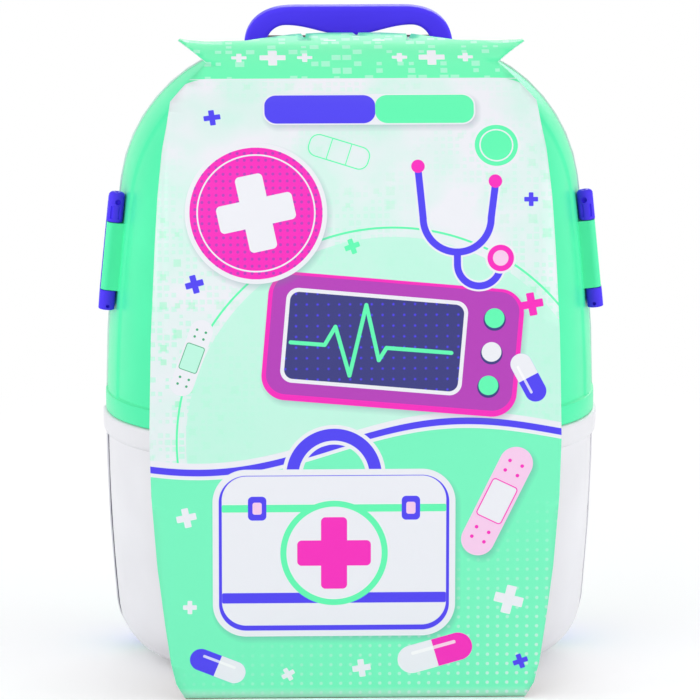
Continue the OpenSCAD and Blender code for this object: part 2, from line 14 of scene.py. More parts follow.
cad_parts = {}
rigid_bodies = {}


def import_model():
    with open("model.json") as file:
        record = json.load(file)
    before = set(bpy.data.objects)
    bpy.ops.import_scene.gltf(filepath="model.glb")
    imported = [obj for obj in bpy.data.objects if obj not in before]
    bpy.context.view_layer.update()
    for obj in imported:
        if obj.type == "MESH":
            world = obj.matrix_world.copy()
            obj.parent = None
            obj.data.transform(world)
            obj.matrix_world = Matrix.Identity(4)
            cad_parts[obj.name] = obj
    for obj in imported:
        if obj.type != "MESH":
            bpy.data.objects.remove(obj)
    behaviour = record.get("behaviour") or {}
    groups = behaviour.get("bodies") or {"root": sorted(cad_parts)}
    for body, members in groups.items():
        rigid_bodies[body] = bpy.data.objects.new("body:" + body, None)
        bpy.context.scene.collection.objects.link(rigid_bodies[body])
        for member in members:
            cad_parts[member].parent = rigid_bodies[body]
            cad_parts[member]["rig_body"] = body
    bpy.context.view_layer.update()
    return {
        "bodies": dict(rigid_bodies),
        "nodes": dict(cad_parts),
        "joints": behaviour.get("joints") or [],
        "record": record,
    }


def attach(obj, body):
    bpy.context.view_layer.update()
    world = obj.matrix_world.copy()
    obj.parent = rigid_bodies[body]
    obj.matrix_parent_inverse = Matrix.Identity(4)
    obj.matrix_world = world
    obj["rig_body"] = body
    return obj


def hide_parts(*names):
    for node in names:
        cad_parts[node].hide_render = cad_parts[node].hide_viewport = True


LOG = logging.getLogger("doctor_case")
MM = 0.001
ARC_STEPS = 8
SHARP = 32.0
Point2 = tuple[float, float]


# ---------------------------------------------------------------- colours and finishes


class Tone(Enum):
    """The plastics', metal and raw card colours and the dark of the painted seam shade, as linear red, green
    and blue.
    """

    MINT = (0.082, 0.940, 0.455)
    MINT_PALE = (0.560, 0.900, 0.740)
    WHITE = (0.830, 0.830, 0.870)
    VIOLET = (0.088, 0.050, 0.980)
    LAVENDER = (0.400, 0.360, 0.900)
    MAGENTA = (0.860, 0.004, 0.460)
    PLUM = (0.450, 0.030, 0.470)
    KRAFT = (0.330, 0.235, 0.140)
    # Painted shade: the dark of the thin ring that stands for the shadow in the seam between tub and back
    # shell.
    SEAM_SHADE = (0.100, 0.095, 0.140)
    STEEL = (0.560, 0.570, 0.600)


class Press(Enum):
    """Inks of the card and the stickers, as linear red, green and blue."""

    WHITE = (0.84, 0.85, 0.90)
    MINT = (0.105, 0.93, 0.44)
    PALE = (0.50, 0.92, 0.74)
    VIOLET = (0.060, 0.036, 0.88)
    MAGENTA = (0.93, 0.003, 0.50)
    PINK = (0.93, 0.60, 0.84)
    PLUM = (0.45, 0.03, 0.47)
    NIGHT = (0.020, 0.022, 0.19)
    GREEN = (0.02, 0.40, 0.17)
    LEAF = (0.17, 0.91, 0.52)
    SHADE = (0.10, 0.16, 0.26)
    GLINT = (1.0, 1.0, 1.0)


class Nodes:
    """Short ways to add and join shader nodes in one material."""

    def __init__(self, name: str) -> None:
        """Starts a material with an empty node tree.

        Args:
            name: name of the material.
        """
        self.material = bpy.data.materials.new(name)
        self.material.use_nodes = True
        self.tree = self.material.node_tree
        self.tree.nodes.clear()

    def add(self, kind: str, **values: object) -> bpy.types.Node:
        """Adds a node.

        Args:
            kind: node type without its ShaderNode prefix.
            values: attributes of the node.

        Returns:
            The new node.
        """
        node = self.tree.nodes.new("ShaderNode" + kind)
        for key, value in values.items():
            setattr(node, key, value)
        return node

    def join(self, source: object, target: bpy.types.NodeSocket) -> None:
        """Links a socket, or writes a plain value, to a target socket.

        Args:
            source: an output socket or a value.
            target: the input socket.
        """
        if isinstance(source, bpy.types.NodeSocket):
            self.tree.links.new(source, target)
        else:
            target.default_value = source

    def math(self, operation: str, *terms: object) -> bpy.types.NodeSocket:
        """Does one sum on numbers.

        Args:
            operation: Math node operation.
            terms: sockets or numbers.

        Returns:
            The result socket.
        """
        node = self.add("Math", operation=operation)
        for i, term in enumerate(terms):
            self.join(term, node.inputs[i])
        return node.outputs[0]

    def vector(self, operation: str, *terms: object) -> bpy.types.NodeSocket:
        """Does one sum on vectors.

        Args:
            operation: Vector Math node operation.
            terms: sockets or triples.

        Returns:
            The vector result socket.
        """
        node = self.add("VectorMath", operation=operation)
        for i, term in enumerate(terms):
            self.join(term, node.inputs[i])
        number = operation in ("LENGTH", "DOT_PRODUCT", "DISTANCE")
        return node.outputs["Value"] if number else node.outputs[0]

    def blend(self, share: object, below: object, above: object) -> bpy.types.NodeSocket:
        """Lays one colour over another.

        Args:
            share: how much of the upper colour shows.
            below: lower colour.
            above: upper colour.

        Returns:
            The colour socket.
        """
        node = self.add("Mix", data_type="RGBA")
        for value, place in ((share, 0), (below, 6), (above, 7)):
            plain = value.value if isinstance(value, Enum) else value
            self.join((*plain, 1.0) if isinstance(plain, tuple) else plain, node.inputs[place])
        return node.outputs[2]

    def noise(self, place: object, scale: float, detail: float = 2.0) -> bpy.types.NodeSocket:
        """Reads a noise texture.

        Args:
            place: coordinates.
            scale: waves per metre.
            detail: octaves.

        Returns:
            The noise value socket.
        """
        node = self.add("TexNoise")
        self.join(place, node.inputs["Vector"])
        node.inputs["Scale"].default_value = scale
        node.inputs["Detail"].default_value = detail
        return node.outputs["Fac"]

    def spread(self, value: object, low: float, high: float, to_low: float,
               to_high: float) -> bpy.types.NodeSocket:
        """Maps a value from one range to another, clamped.

        Args:
            value: the number socket.
            low: lower end of what comes in.
            high: upper end of what comes in.
            to_low: result at the lower end.
            to_high: result at the upper end.

        Returns:
            The mapped socket.
        """
        node = self.add("MapRange")
        for i, term in enumerate((value, low, high, to_low, to_high)):
            self.join(term, node.inputs[i])
        return node.outputs[0]

    def object_place(self) -> bpy.types.NodeSocket:
        """Object coordinates of the surface, in metres."""
        return self.add("TexCoord").outputs["Object"]

    def surface(self, colour: object, roughness: object, height: object = None, depth: float = 0.0001,
                **values: object) -> bpy.types.Material:
        """Ends the material with its shader.

        Args:
            colour: base colour.
            roughness: roughness.
            height: bump height from 0 to 1, or nothing.
            depth: depth of the bump in metres.
            values: other shader inputs by name, with underscores for spaces.

        Returns:
            The finished material.
        """
        shader = self.add("BsdfPrincipled")
        self.join((*colour, 1.0) if isinstance(colour, tuple) else colour, shader.inputs["Base Color"])
        self.join(roughness, shader.inputs["Roughness"])
        for key, value in values.items():
            shader.inputs[key.replace("_", " ")].default_value = value
        if height is not None:
            bump = self.add("Bump")
            bump.inputs["Distance"].default_value = depth
            self.join(height, bump.inputs["Height"])
            self.join(bump.outputs[0], shader.inputs["Normal"])
        self.join(shader.outputs[0], self.add("OutputMaterial").inputs[0])
        return self.material


@dataclass(frozen=True)
class MouldedPlastic:
    """Injection moulded plastic with a satin skin, faint flow marks and light handling scuffs."""

    name: str
    tone: Tone
    roughness: float = 0.30
    ripple: float = 0.00003
    fine: float = 0.08
    coat: float = 0.0
    index: float = 1.42

    def make(self) -> bpy.types.Material:
        """Builds the material.

        Returns:
            The material.
        """
        n = Nodes(self.name)
        place = n.object_place()
        flow = n.noise(place, 14.0, 3.0)
        deep = tuple(c * 0.93 for c in self.tone.value)
        colour = n.blend(n.spread(flow, 0.35, 0.7, 0.0, 1.0), self.tone.value, deep)
        scuffs = n.noise(n.vector("MULTIPLY", place, (420.0, 420.0, 260.0)), 1.0, 3.0)
        rough = n.spread(scuffs, 0.35, 0.8, self.roughness - 0.01, self.roughness + 0.05)
        skin = n.noise(place, 2600.0, 1.0)
        height = n.math("MULTIPLY_ADD", skin, self.fine, n.noise(place, 40.0, 1.0))
        return n.surface(colour, rough, height, self.ripple, IOR=self.index, Coat_Weight=self.coat,
                         Coat_Roughness=0.12)


@dataclass(frozen=True)
class PlatedSteel:
    """Bright plated steel with turning marks."""

    name: str

    def make(self) -> bpy.types.Material:
        """Builds the material.

        Returns:
            The material.
        """
        n = Nodes(self.name)
        place = n.object_place()
        lines = n.noise(n.vector("MULTIPLY", place, (60.0, 4000.0, 4000.0)), 1.0, 2.0)
        rough = n.spread(lines, 0.3, 0.7, 0.22, 0.4)
        return n.surface(Tone.STEEL.value, rough, lines, 0.00002, Metallic=1.0)


@dataclass(frozen=True)
class RawCard:
    """Uncoated inner side and cut edges of the card, with fibres and flecks."""

    name: str
    tone: Tone = Tone.KRAFT

    def make(self) -> bpy.types.Material:
        """Builds the material.

        Returns:
            The material.
        """
        n = Nodes(self.name)
        place = n.object_place()
        fibres = n.noise(n.vector("MULTIPLY", place, (500.0, 500.0, 2400.0)), 1.0, 4.0)
        clouds = n.noise(place, 25.0, 3.0)
        flecks = n.noise(place, 1600.0, 1.0)
        light = tuple(min(1.0, c * 1.35) for c in self.tone.value)
        dark = tuple(c * 0.6 for c in self.tone.value)
        colour = n.blend(n.spread(fibres, 0.3, 0.7, 0.0, 1.0), self.tone.value, light)
        colour = n.blend(n.spread(clouds, 0.4, 0.7, 0.0, 0.35), colour, dark)
        colour = n.blend(n.spread(flecks, 0.70, 0.76, 0.0, 0.6), colour, dark)
        return n.surface(colour, 0.85, fibres, 0.00012)


# ---------------------------------------------------------------- printed designs


class Ink:
    """Lays flat shapes of ink over a colour, in millimetres on the sheet."""

    EDGE = 0.14
    FALL = (1.4, -2.2)
    SHADE_SOFT = 2.6
    SHADE_SHARE = 0.4
    DOT_EDGE = 0.06
    SQUARE_EDGE = 0.03

    def __init__(self, nodes: Nodes, sheet: bpy.types.NodeSocket, ground: object) -> None:
        """Starts a print.

        Args:
            nodes: the material's nodes.
            sheet: coordinates on the sheet in metres.
            ground: colour of the unprinted sheet.
        """
        self.n = nodes
        self.early = nodes.vector("SCALE", sheet)
        self.early.node.inputs["Scale"].default_value = 1 / MM
        again = nodes.add("Mapping")
        again.inputs["Scale"].default_value = (1 / MM, 1 / MM, 1 / MM)
        nodes.join(sheet, again.inputs[0])
        self.place = nodes.vector("SUBTRACT", again.outputs[0], (0.0, 0.0, 1.0))
        self.colour = ground

    def along(self, x: float, y: float, place: object = None) -> bpy.types.NodeSocket:
        """Distance along a direction on the sheet.

        Args:
            x: the direction's part to the right.
            y: the direction's upward part.
            place: coordinates, where other than the print's own.

        Returns:
            The distance socket in millimetres.
        """
        return self.n.vector("DOT_PRODUCT", place or self.place, (x, y, 0.0))

    def _cover(self, distance: object, tone: object, strength: object = 1.0, soft: float = 0.0) -> None:
        """Inks wherever the distance is below zero.

        Args:
            distance: signed distance to the shape's edge in millimetres.
            tone: colour of the ink.
            strength: how opaque the ink is.
            soft: how far the edge fades, in millimetres.
        """
        mask = self.n.spread(distance, -self.EDGE - soft, self.EDGE + soft, 1.0, 0.0)
        if strength != 1.0:
            mask = self.n.math("MULTIPLY", mask, strength)
        self.colour = self.n.blend(mask, self.colour, tone)

    def _shade(self, distance: object) -> None:
        """Prints a soft shadow wherever the distance is below zero.

        Args:
            distance: signed distance to the shadow's edge in millimetres.
        """
        self._cover(distance, Press.SHADE, self.SHADE_SHARE, self.SHADE_SOFT)

    def bar_distance(self, x: float, y: float, w: float, h: float, angle: float,
                     corner: float) -> bpy.types.NodeSocket:
        """Signed distance to a rounded bar.

        Args:
            x: middle of the bar.
            y: middle of the bar.
            w: width.
            h: height.
            angle: turn in degrees.
            corner: corner radius.

        Returns:
            The distance socket.
        """
        n = self.n
        c, s = math.cos(math.radians(angle)), math.sin(math.radians(angle))
        past = []
        for u, v, half in ((c, s, w / 2 - corner), (-s, c, h / 2 - corner)):
            across = n.math("SUBTRACT", self.along(u, v), x * u + y * v)
            past.append(n.math("SUBTRACT", n.math("ABSOLUTE", across), half))
        nearer = n.math("MAXIMUM", past[0], past[1])
        if corner < 0.05:
            return nearer
        right, up = (n.math("MAXIMUM", q, 0.0) for q in past)
        outside = n.math("SQRT", n.math("MULTIPLY_ADD", right, right, n.math("MULTIPLY", up, up)))
        return n.math("SUBTRACT", n.math("ADD", outside, n.math("MINIMUM", nearer, 0.0)), corner)

    def _disc_distance(self, x: float, y: float, r: float) -> bpy.types.NodeSocket:
        """Signed distance to a disc's edge.

        Args:
            x: middle of the disc.
            y: middle of the disc.
            r: radius.

        Returns:
            The distance socket.
        """
        away = self.n.vector("MULTIPLY", self.n.vector("SUBTRACT", self.place, (x, y, 0.0)), (1.0, 1.0, 0.0))
        return self.n.math("SUBTRACT", self.n.vector("LENGTH", away), r)

    def bar(self, x: float, y: float, w: float, h: float, tone: Press, angle: float = 0.0,
            corner: float = 0.0, strength: object = 1.0) -> None:
        """Prints a rounded bar.

        Args:
            x: middle of the bar.
            y: middle of the bar.
            w: width.
            h: height.
            tone: ink.
            angle: turn in degrees.
            corner: corner radius.
            strength: how opaque the ink is.
        """
        self._cover(self.bar_distance(x, y, w, h, angle, corner), tone, strength)

    def frame(self, x: float, y: float, w: float, h: float, line: float, tone: Press, angle: float = 0.0,
              corner: float = 0.0) -> None:
        """Prints the outline of a rounded bar.

        Args:
            x: middle of the bar.
            y: middle of the bar.
            w: width to the middle of the line.
            h: height to the middle of the line.
            line: line width.
            tone: ink.
            angle: turn in degrees.
            corner: corner radius.
        """
        edge = self.n.math("ABSOLUTE", self.bar_distance(x, y, w, h, angle, corner))
        self._cover(self.n.math("SUBTRACT", edge, line / 2), tone)

    def disc(self, x: float, y: float, r: float, tone: Press, strength: object = 1.0) -> None:
        """Prints a disc.

        Args:
            x: middle of the disc.
            y: middle of the disc.
            r: radius.
            tone: ink.
            strength: how opaque the ink is.
        """
        self._cover(self._disc_distance(x, y, r), tone, strength)

    def ring(self, x: float, y: float, r: float, line: float, tone: Press) -> None:
        """Prints a ring.

        Args:
            x: middle of the ring.
            y: middle of the ring.
            r: radius to the middle of the line.
            line: line width.
            tone: ink.
        """
        edge = self.n.math("ABSOLUTE", self._disc_distance(x, y, r))
        self._cover(self.n.math("SUBTRACT", edge, line / 2), tone)

    def bow(self, x: float, y: float, r: float, line: float, tone: Press, towards: float) -> None:
        """Prints half a ring.

        Args:
            x: middle of the ring.
            y: middle of the ring.
            r: radius to the middle of the line.
            line: line width.
            tone: ink.
            towards: direction in degrees in which the half ring bulges.
        """
        c, s = math.cos(math.radians(towards)), math.sin(math.radians(towards))
        edge = self.n.math("SUBTRACT", self.n.math("ABSOLUTE", self._disc_distance(x, y, r)), line / 2)
        behind = self.n.math("MULTIPLY_ADD", self.along(c, s), -1.0, x * c + y * s)
        self._cover(self.n.math("MAXIMUM", edge, behind), tone)

    def shade_bar(self, x: float, y: float, w: float, h: float, angle: float = 0.0,
                  corner: float = 2.0) -> None:
        """Prints the soft shadow under a raised bar.

        Args:
            x: middle of the bar.
            y: middle of the bar.
            w: width.
            h: height.
            angle: turn in degrees.
            corner: corner radius.
        """
        self._shade(self.bar_distance(x + self.FALL[0], y + self.FALL[1], w, h, angle, corner))

    def shade_disc(self, x: float, y: float, r: float) -> None:
        """Prints the soft shadow under a raised disc.

        Args:
            x: middle of the disc.
            y: middle of the disc.
            r: radius.
        """
        self._shade(self._disc_distance(x + self.FALL[0], y + self.FALL[1], r))

    def cross(self, x: float, y: float, size: float, arm: float, tone: Press, angle: float = 0.0,
              corner: float = 1.0, grow: float = 0.0) -> None:
        """Prints a plain cross with equal arms.

        Args:
            x: middle of the cross.
            y: middle of the cross.
            size: length of its arms, tip to tip.
            arm: width of its arms.
            tone: ink.
            angle: turn in degrees.
            corner: corner radius.
            grow: how far the ink spreads past the cross, for an edging under it.
        """
        flat = self.bar_distance(x, y, size, arm, angle, corner)
        tall = self.bar_distance(x, y, arm, size, angle, corner)
        both = self.n.math("MINIMUM", flat, tall)
        self._cover(self.n.math("SUBTRACT", both, grow) if grow else both, tone)

    def line(self, points: Sequence[Point2], width: float, tone: Press) -> None:
        """Prints a broken line with round ends.

        Args:
            points: its corners.
            width: line width.
            tone: ink.
        """
        nearest: object = None
        for (x0, y0), (x1, y1) in zip(points, points[1:]):
            length = math.hypot(x1 - x0, y1 - y0)
            angle = math.degrees(math.atan2(y1 - y0, x1 - x0))
            bar = self.bar_distance((x0 + x1) / 2, (y0 + y1) / 2, length + width, width, angle,
                                    width / 2 - 0.01)
            nearest = bar if nearest is None else self.n.math("MINIMUM", nearest, bar)
        self._cover(nearest, tone)

    def wave(self, y: float, lift: float, length: float, phase: float, tone: Press,
             tilt: float = 0.0) -> None:
        """Inks everything below a wavy line.

        Args:
            y: height of the line.
            lift: height of its waves.
            length: length of a wave.
            phase: shift of the waves along the line, in turns.
            tone: ink.
            tilt: rise of the line per millimetre to the right.
        """
        n = self.n
        turn = n.math("MULTIPLY_ADD", self.along(1.0, 0.0), math.tau / length, phase * math.tau)
        line = n.math("MULTIPLY_ADD", n.math("SINE", turn), lift, y)
        self._cover(n.math("SUBTRACT", self.along(-tilt, 1.0), line), tone)

    def squares(self, pitch: float, share: float, tone: Press, fade: object, ragged: float = 0.5) -> None:
        """Prints a screen of small squares, some of them missing.

        Args:
            pitch: distance between squares.
            share: size of the largest square as a share of the pitch.
            tone: ink.
            fade: strength of the print over the sheet, from 0 to 1.
            ragged: share of the squares that are missing.
        """
        n = self.n
        flat = n.vector("MULTIPLY", self.early, (1 / pitch, 1 / pitch, 0.0))
        cell = n.vector("FLOOR", flat)
        within = n.vector("ABSOLUTE", n.vector("SUBTRACT", n.vector("FRACTION", flat), (0.5, 0.5, 0.0)))
        random = n.add("TexWhiteNoise", noise_dimensions="3D")
        n.join(cell, random.inputs["Vector"])
        reach = n.math("MAXIMUM", self.along(1.0, 0.0, within), self.along(0.0, 1.0, within))
        size = n.spread(random.outputs["Value"], ragged, 1.0, share * 0.25, share * 0.5)
        there = n.math("GREATER_THAN", random.outputs["Value"], ragged)
        square = n.spread(n.math("SUBTRACT", reach, size), -self.SQUARE_EDGE, self.SQUARE_EDGE, 1.0, 0.0)
        mask = n.math("MULTIPLY", square, there)
        self.colour = n.blend(n.math("MULTIPLY", mask, fade), self.colour, tone)

    def dots(self, pitch: float, share: float, tone: Press, inside: object) -> None:
        """Prints a regular screen of round dots.

        Args:
            pitch: distance between dots.
            share: diameter of a dot as a share of the pitch.
            tone: ink.
            inside: mask from 0 to 1.
        """
        n = self.n
        flat = n.vector("MULTIPLY", self.place, (1 / pitch, 1 / pitch, 0.0))
        within = n.vector("LENGTH", n.vector("SUBTRACT", n.vector("FRACTION", flat), (0.5, 0.5, 0.0)))
        mask = n.spread(n.math("SUBTRACT", within, share / 2), -self.DOT_EDGE, self.DOT_EDGE, 1.0, 0.0)
        self.colour = n.blend(n.math("MULTIPLY", mask, inside), self.colour, tone)

    def inside_bar(self, x: float, y: float, w: float, h: float, angle: float = 0.0,
                   corner: float = 0.0) -> object:
        """Mask of a rounded bar.

        Args:
            x: middle of the bar.
            y: middle of the bar.
            w: width.
            h: height.
            angle: turn in degrees.
            corner: corner radius.

        Returns:
            The mask socket.
        """
        return self.n.spread(self.bar_distance(x, y, w, h, angle, corner), -self.EDGE, self.EDGE, 1.0, 0.0)

    def inside_disc(self, x: float, y: float, r: float) -> object:
        """Mask of a disc.

        Args:
            x: middle of the disc.
            y: middle of the disc.
            r: radius.

        Returns:
            The mask socket.
        """
        return self.n.spread(self._disc_distance(x, y, r), -self.EDGE, self.EDGE, 1.0, 0.0)

    def plaster(self, x: float, y: float, w: float, h: float, angle: float, body: Press, pad: Press,
                hole: Press) -> None:
        """Prints a sticking plaster with its pad and rows of holes.

        Args:
            x: middle of the plaster.
            y: middle of the plaster.
            w: length.
            h: width.
            angle: turn in degrees.
            body: ink of the strip.
            pad: ink of the pad.
            hole: ink of the holes and the pad's outline.
        """
        self.bar(x, y, w, h, body, angle, h / 2 - 0.01)
        c, s = math.cos(math.radians(angle)), math.sin(math.radians(angle))
        for side in (-1, 1):
            for i in range(2):
                for j in (-1, 1):
                    u, v = side * w * (0.27 + 0.09 * i), j * h * 0.2
                    self.disc(x + u * c - v * s, y + u * s + v * c, h * 0.055, hole)
        self.bar(x, y, w * 0.34, h * 0.8, pad, angle, h * 0.1)
        self.frame(x, y, w * 0.34, h * 0.8, h * 0.035, hole, angle, h * 0.1)

    def capsule(self, x: float, y: float, w: float, h: float, angle: float, left: Press,
                right: Press) -> None:
        """Prints a two-coloured capsule.

        Args:
            x: middle of the capsule.
            y: middle of the capsule.
            w: length.
            h: width.
            angle: turn in degrees.
            left: ink of one half.
            right: ink of the other half.
        """
        c, s = math.cos(math.radians(angle)), math.sin(math.radians(angle))
        self.bar(x, y, w, h, left, angle, h / 2 - 0.01)
        self.bar(x + w * 0.25 * c, y + w * 0.25 * s, w * 0.5, h, right, angle, 0.0,
                 self.inside_bar(x, y, w, h, angle, h / 2 - 0.01))
        self.bar(x - h * 0.2 * s, y + h * 0.2 * c, w * 0.6, h * 0.12, Press.GLINT, angle, h * 0.05, 0.65)


# ---------------------------------------------------------------- making pieces


@dataclass
class Workshop:
    """Turns meshes in millimetres into finished pieces that ride on the case's bodies."""

    frame: dict
    finishes: dict[str, bpy.types.Material]

    def body_of(self, node: str) -> str:
        """Name of the body that a CAD node rides on."""
        return self.frame["nodes"][node]["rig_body"]

    def piece(self, name: str, bm: bmesh.types.BMesh, nodes: Sequence[str], finishes: Sequence[str],
              sharp: float = SHARP, body: str = "") -> bpy.types.Object:
        """Makes an object of a mesh in millimetres.

        Args:
            name: name of the piece.
            bm: its mesh, which is freed.
            nodes: CAD nodes that it stands for, or the node that it lies on.
            finishes: names of its finishes, in the order of its faces' material numbers.
            sharp: angle in degrees from which an edge stays sharp.
            body: body to ride on, where it replaces no node.

        Returns:
            The piece.
        """
        bmesh.ops.scale(bm, vec=(MM, MM, MM), verts=bm.verts)
        mesh = bpy.data.meshes.new(name)
        bm.to_mesh(mesh)
        bm.free()
        mesh.shade_smooth()
        mesh.set_sharp_from_angle(angle=math.radians(sharp))
        for finish in finishes:
            mesh.materials.append(self.finishes[finish])
        made = bpy.data.objects.new(name, mesh)
        bpy.context.scene.collection.objects.link(made)
        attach(made, body or self.body_of(nodes[0]))
        if not body:
            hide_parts(*nodes)
        LOG.info("%s: %d faces", name, len(mesh.polygons))
        return made

    def copy_of(self, node: str) -> bmesh.types.BMesh:
        """Copies a CAD node's mesh, joined up and with its flat faces whole.

        Args:
            node: the CAD node.

        Returns:
            The mesh in millimetres.
        """
        bm = bmesh.new()
        bm.from_mesh(self.frame["nodes"][node].data)
        bmesh.ops.scale(bm, vec=(1 / MM, 1 / MM, 1 / MM), verts=bm.verts)
        bmesh.ops.remove_doubles(bm, verts=bm.verts, dist=0.002)
        bmesh.ops.dissolve_limit(bm, angle_limit=math.radians(0.5), verts=bm.verts, edges=bm.edges)
        return bm

    def recast(self, node: str, finish: str, rounding: float = 0.5) -> bpy.types.Object:
        """Replaces a CAD node by a copy whose edges are rounded as a moulding's are.

        Args:
            node: the CAD node.
            finish: name of its finish.
            rounding: radius of its edges.

        Returns:
            The piece.
        """
        bm = self.copy_of(node)
        if rounding:
            edges = [e for e in bm.edges if len(e.link_faces) == 2
                     and e.calc_face_angle(0.0) > math.radians(SHARP)]
            bmesh.ops.bevel(bm, geom=edges, offset=rounding, offset_type="OFFSET", affect="EDGES", segments=2,
                            profile=0.5, material=-1, clamp_overlap=True)
        return self.piece(node + "_moulding", bm, [node], [finish])


# ---------------------------------------------------------------- moulded shells


def arc(centre: Point2, radius: float, start: float, end: float, count: int) -> list[Point2]:
    """Points along an arc.

    Args:
        centre: its middle.
        radius: its radius.
        start: first angle in degrees.
        end: last angle in degrees.
        count: number of steps.

    Returns:
        The points, ends included.
    """
    angles = (math.radians(start + (end - start) * i / count) for i in range(count + 1))
    return [(centre[0] + radius * math.cos(a), centre[1] + radius * math.sin(a)) for a in angles]


@dataclass(frozen=True)
class CaseShape:
    """Outline and sections that lid, tub and back shell share, in millimetres."""

    half_w: float = 163.0
    rim_z: float = 172.0
    seam_y: float = 30.0
    bulge: float = 129.0
    wall: float = 2.5
    shoulder_r: float = 106.0
    plan_n: float = 2.3
    dome_n: float = 2.6
    side_r: float = 1128.0
    side_lean: float = 8.0
    crown_lean: float = 3.0
    lower_r: float = 1344.0
    lower_lean: float = 5.6
    corner_r: float = 38.0
    skirt_h: float = 13.0
    skirt_step: float = 1.2
    hinge_z: float = 415.5
    dome_step: float = 2.5
    crease_from: float = 16.3
    crease_turn: float = 1.5

    @property
    def side_c(self) -> Point2:
        """Middle of the long arc of the lid's side."""
        return self.half_w - self.side_r, self.rim_z - 2.0

    @property
    def shoulder_c(self) -> Point2:
        """Middle of the shoulder's arc."""
        lean, reach = math.radians(self.side_lean), self.side_r - self.shoulder_r
        return self.side_c[0] + reach * math.cos(lean), self.side_c[1] + reach * math.sin(lean)

    @property
    def crown(self) -> tuple[Point2, float]:
        """Middle and radius of the crown's shallow arc."""
        lean = math.radians(self.crown_lean)
        radius = self.shoulder_r + self.shoulder_c[0] / math.sin(lean)
        return (0.0, self.shoulder_c[1] - (radius - self.shoulder_r) * math.cos(lean)), radius

    @property
    def lower_c(self) -> Point2:
        """Middle of the long arc of the tub's side."""
        return self.half_w - self.lower_r, self.rim_z - 2.0

    @property
    def corner_c(self) -> Point2:
        """Middle of the bottom corner's arc."""
        lean, reach = math.radians(self.lower_lean), self.lower_r - self.corner_r
        return self.lower_c[0] + reach * math.cos(lean), self.lower_c[1] - reach * math.sin(lean)

    @property
    def base_z(self) -> float:
        """Height of the flat bottom."""
        return self.corner_c[1] - self.corner_r

    @property
    def band_z(self) -> float:
        """Height above which the lid's dome begins."""
        return self.rim_z + self.skirt_h + self.skirt_step

    def arch(self, low: float, inset: float) -> list[Point2]:
        """Right half of the lid's arch, from a height up to the middle of the crown.

        Args:
            low: height to start from.
            inset: how far the arch is drawn in.

        Returns:
            The points.
        """
        start = math.degrees(math.asin((low - self.side_c[1]) / (self.side_r - inset)))
        centre, radius = self.crown
        return (arc(self.side_c, self.side_r - inset, start, self.side_lean - 0.6, 7)
                + arc(self.shoulder_c, self.shoulder_r - inset, self.side_lean + 2.0, 90.0 - self.crown_lean,
                      27)
                + arc(centre, radius - inset, 90.0 - self.crown_lean * 0.75, 90.0, 3))

    def low_half_w(self, z: float) -> float:
        """Half width of the case below the seam at a height."""
        upper = z > self.corner_c[1]
        centre, radius = (self.lower_c, self.lower_r) if upper else (self.corner_c, self.corner_r)
        return centre[0] + math.sqrt(max(0.0, radius**2 - (z - centre[1]) ** 2))

    def dome_ring(self, angle: float, inset: float, crease: float, bottom: float,
                  y: float | None = None) -> list[Vector]:
        """Closed section of the lid's dome.

        Args:
            angle: how far round the plan's superellipse the section is, in degrees.
            inset: how far the section is drawn in.
            crease: how far the dome steps in above the skirt.
            bottom: height of the lower edge.
            y: place of the section, where it isn't the superellipse's own.

        Returns:
            Its points, anticlockwise as seen from the front.
        """
        t = math.sin(math.radians(angle)) ** (2 / self.plan_n)
        sx = math.cos(math.radians(angle)) ** (2 / self.plan_n)
        sz = max(0.0, 1.0 - t**self.dome_n) ** (1 / self.dome_n)
        place = self.seam_y - (self.bulge - inset) * t if y is None else y
        w, ledge = self.half_w - inset, self.rim_z + self.skirt_h
        low = [(w - 0.6, bottom), (w - 0.2, bottom + 0.15), (w, bottom + 0.6), (w, ledge - 0.5),
               (w - 0.15, ledge - 0.1), (w - 0.5, ledge + 0.1), (w - self.skirt_step, ledge + 0.25)]
        half = [(x * sx, z) for x, z in low]
        half += [(x * sx, self.band_z + (z - self.band_z) * sz)
                 for x, z in self.arch(self.band_z, inset + self.skirt_step + crease)]
        return [Vector((x, place, z)) for x, z in half + [(-x, z) for x, z in reversed(half[:-1])]]

    def dome(self, inset: float, bottom: float, extra: float) -> list[list[Vector]]:
        """Sections of the lid's dome from the seam forwards.

        Args:
            inset: how far the dome is drawn in.
            bottom: height of its lower edge.
            extra: how far it runs on behind the seam.

        Returns:
            The rings.
        """
        rings = [self.dome_ring(0.01, inset, 0.0, bottom, self.seam_y + extra)]
        turns = [2.0, 5.0, 8.0, 11.0, 14.0, 16.3, 16.7, 17.3, 17.8] + [
            19.0 + self.dome_step * i for i in range(int(66.0 / self.dome_step) + 1)] + [87.0, 88.6]
        for turn in turns:
            drop = min(1.0, max(0.0, (turn - self.crease_from) / self.crease_turn))
            rings.append(self.dome_ring(turn, inset, self.skirt_step * drop * drop * (3.0 - 2.0 * drop),
                                        bottom))
        return rings

    def plan_ring(self, z: float, grow: float, rear: float) -> list[Vector]:
        """Closed plan section of the tub.

        Args:
            z: its height.
            grow: how far it spreads.
            rear: place of its rear side.

        Returns:
            Its points, clockwise as seen from above.
        """
        w = self.low_half_w(z) + grow
        d = self.bulge - self.half_w + w
        points = []
        for i in range(72, -1, -1):
            a = math.pi * i / 72
            c = math.cos(a)
            points.append(Vector((math.copysign(w * abs(c) ** (2 / self.plan_n), c),
                                  self.seam_y - d * math.sin(a) ** (2 / self.plan_n), z)))
        if rear > self.seam_y:
            points = [Vector((-w, rear, z)), *points, Vector((w, rear, z))]
        return points


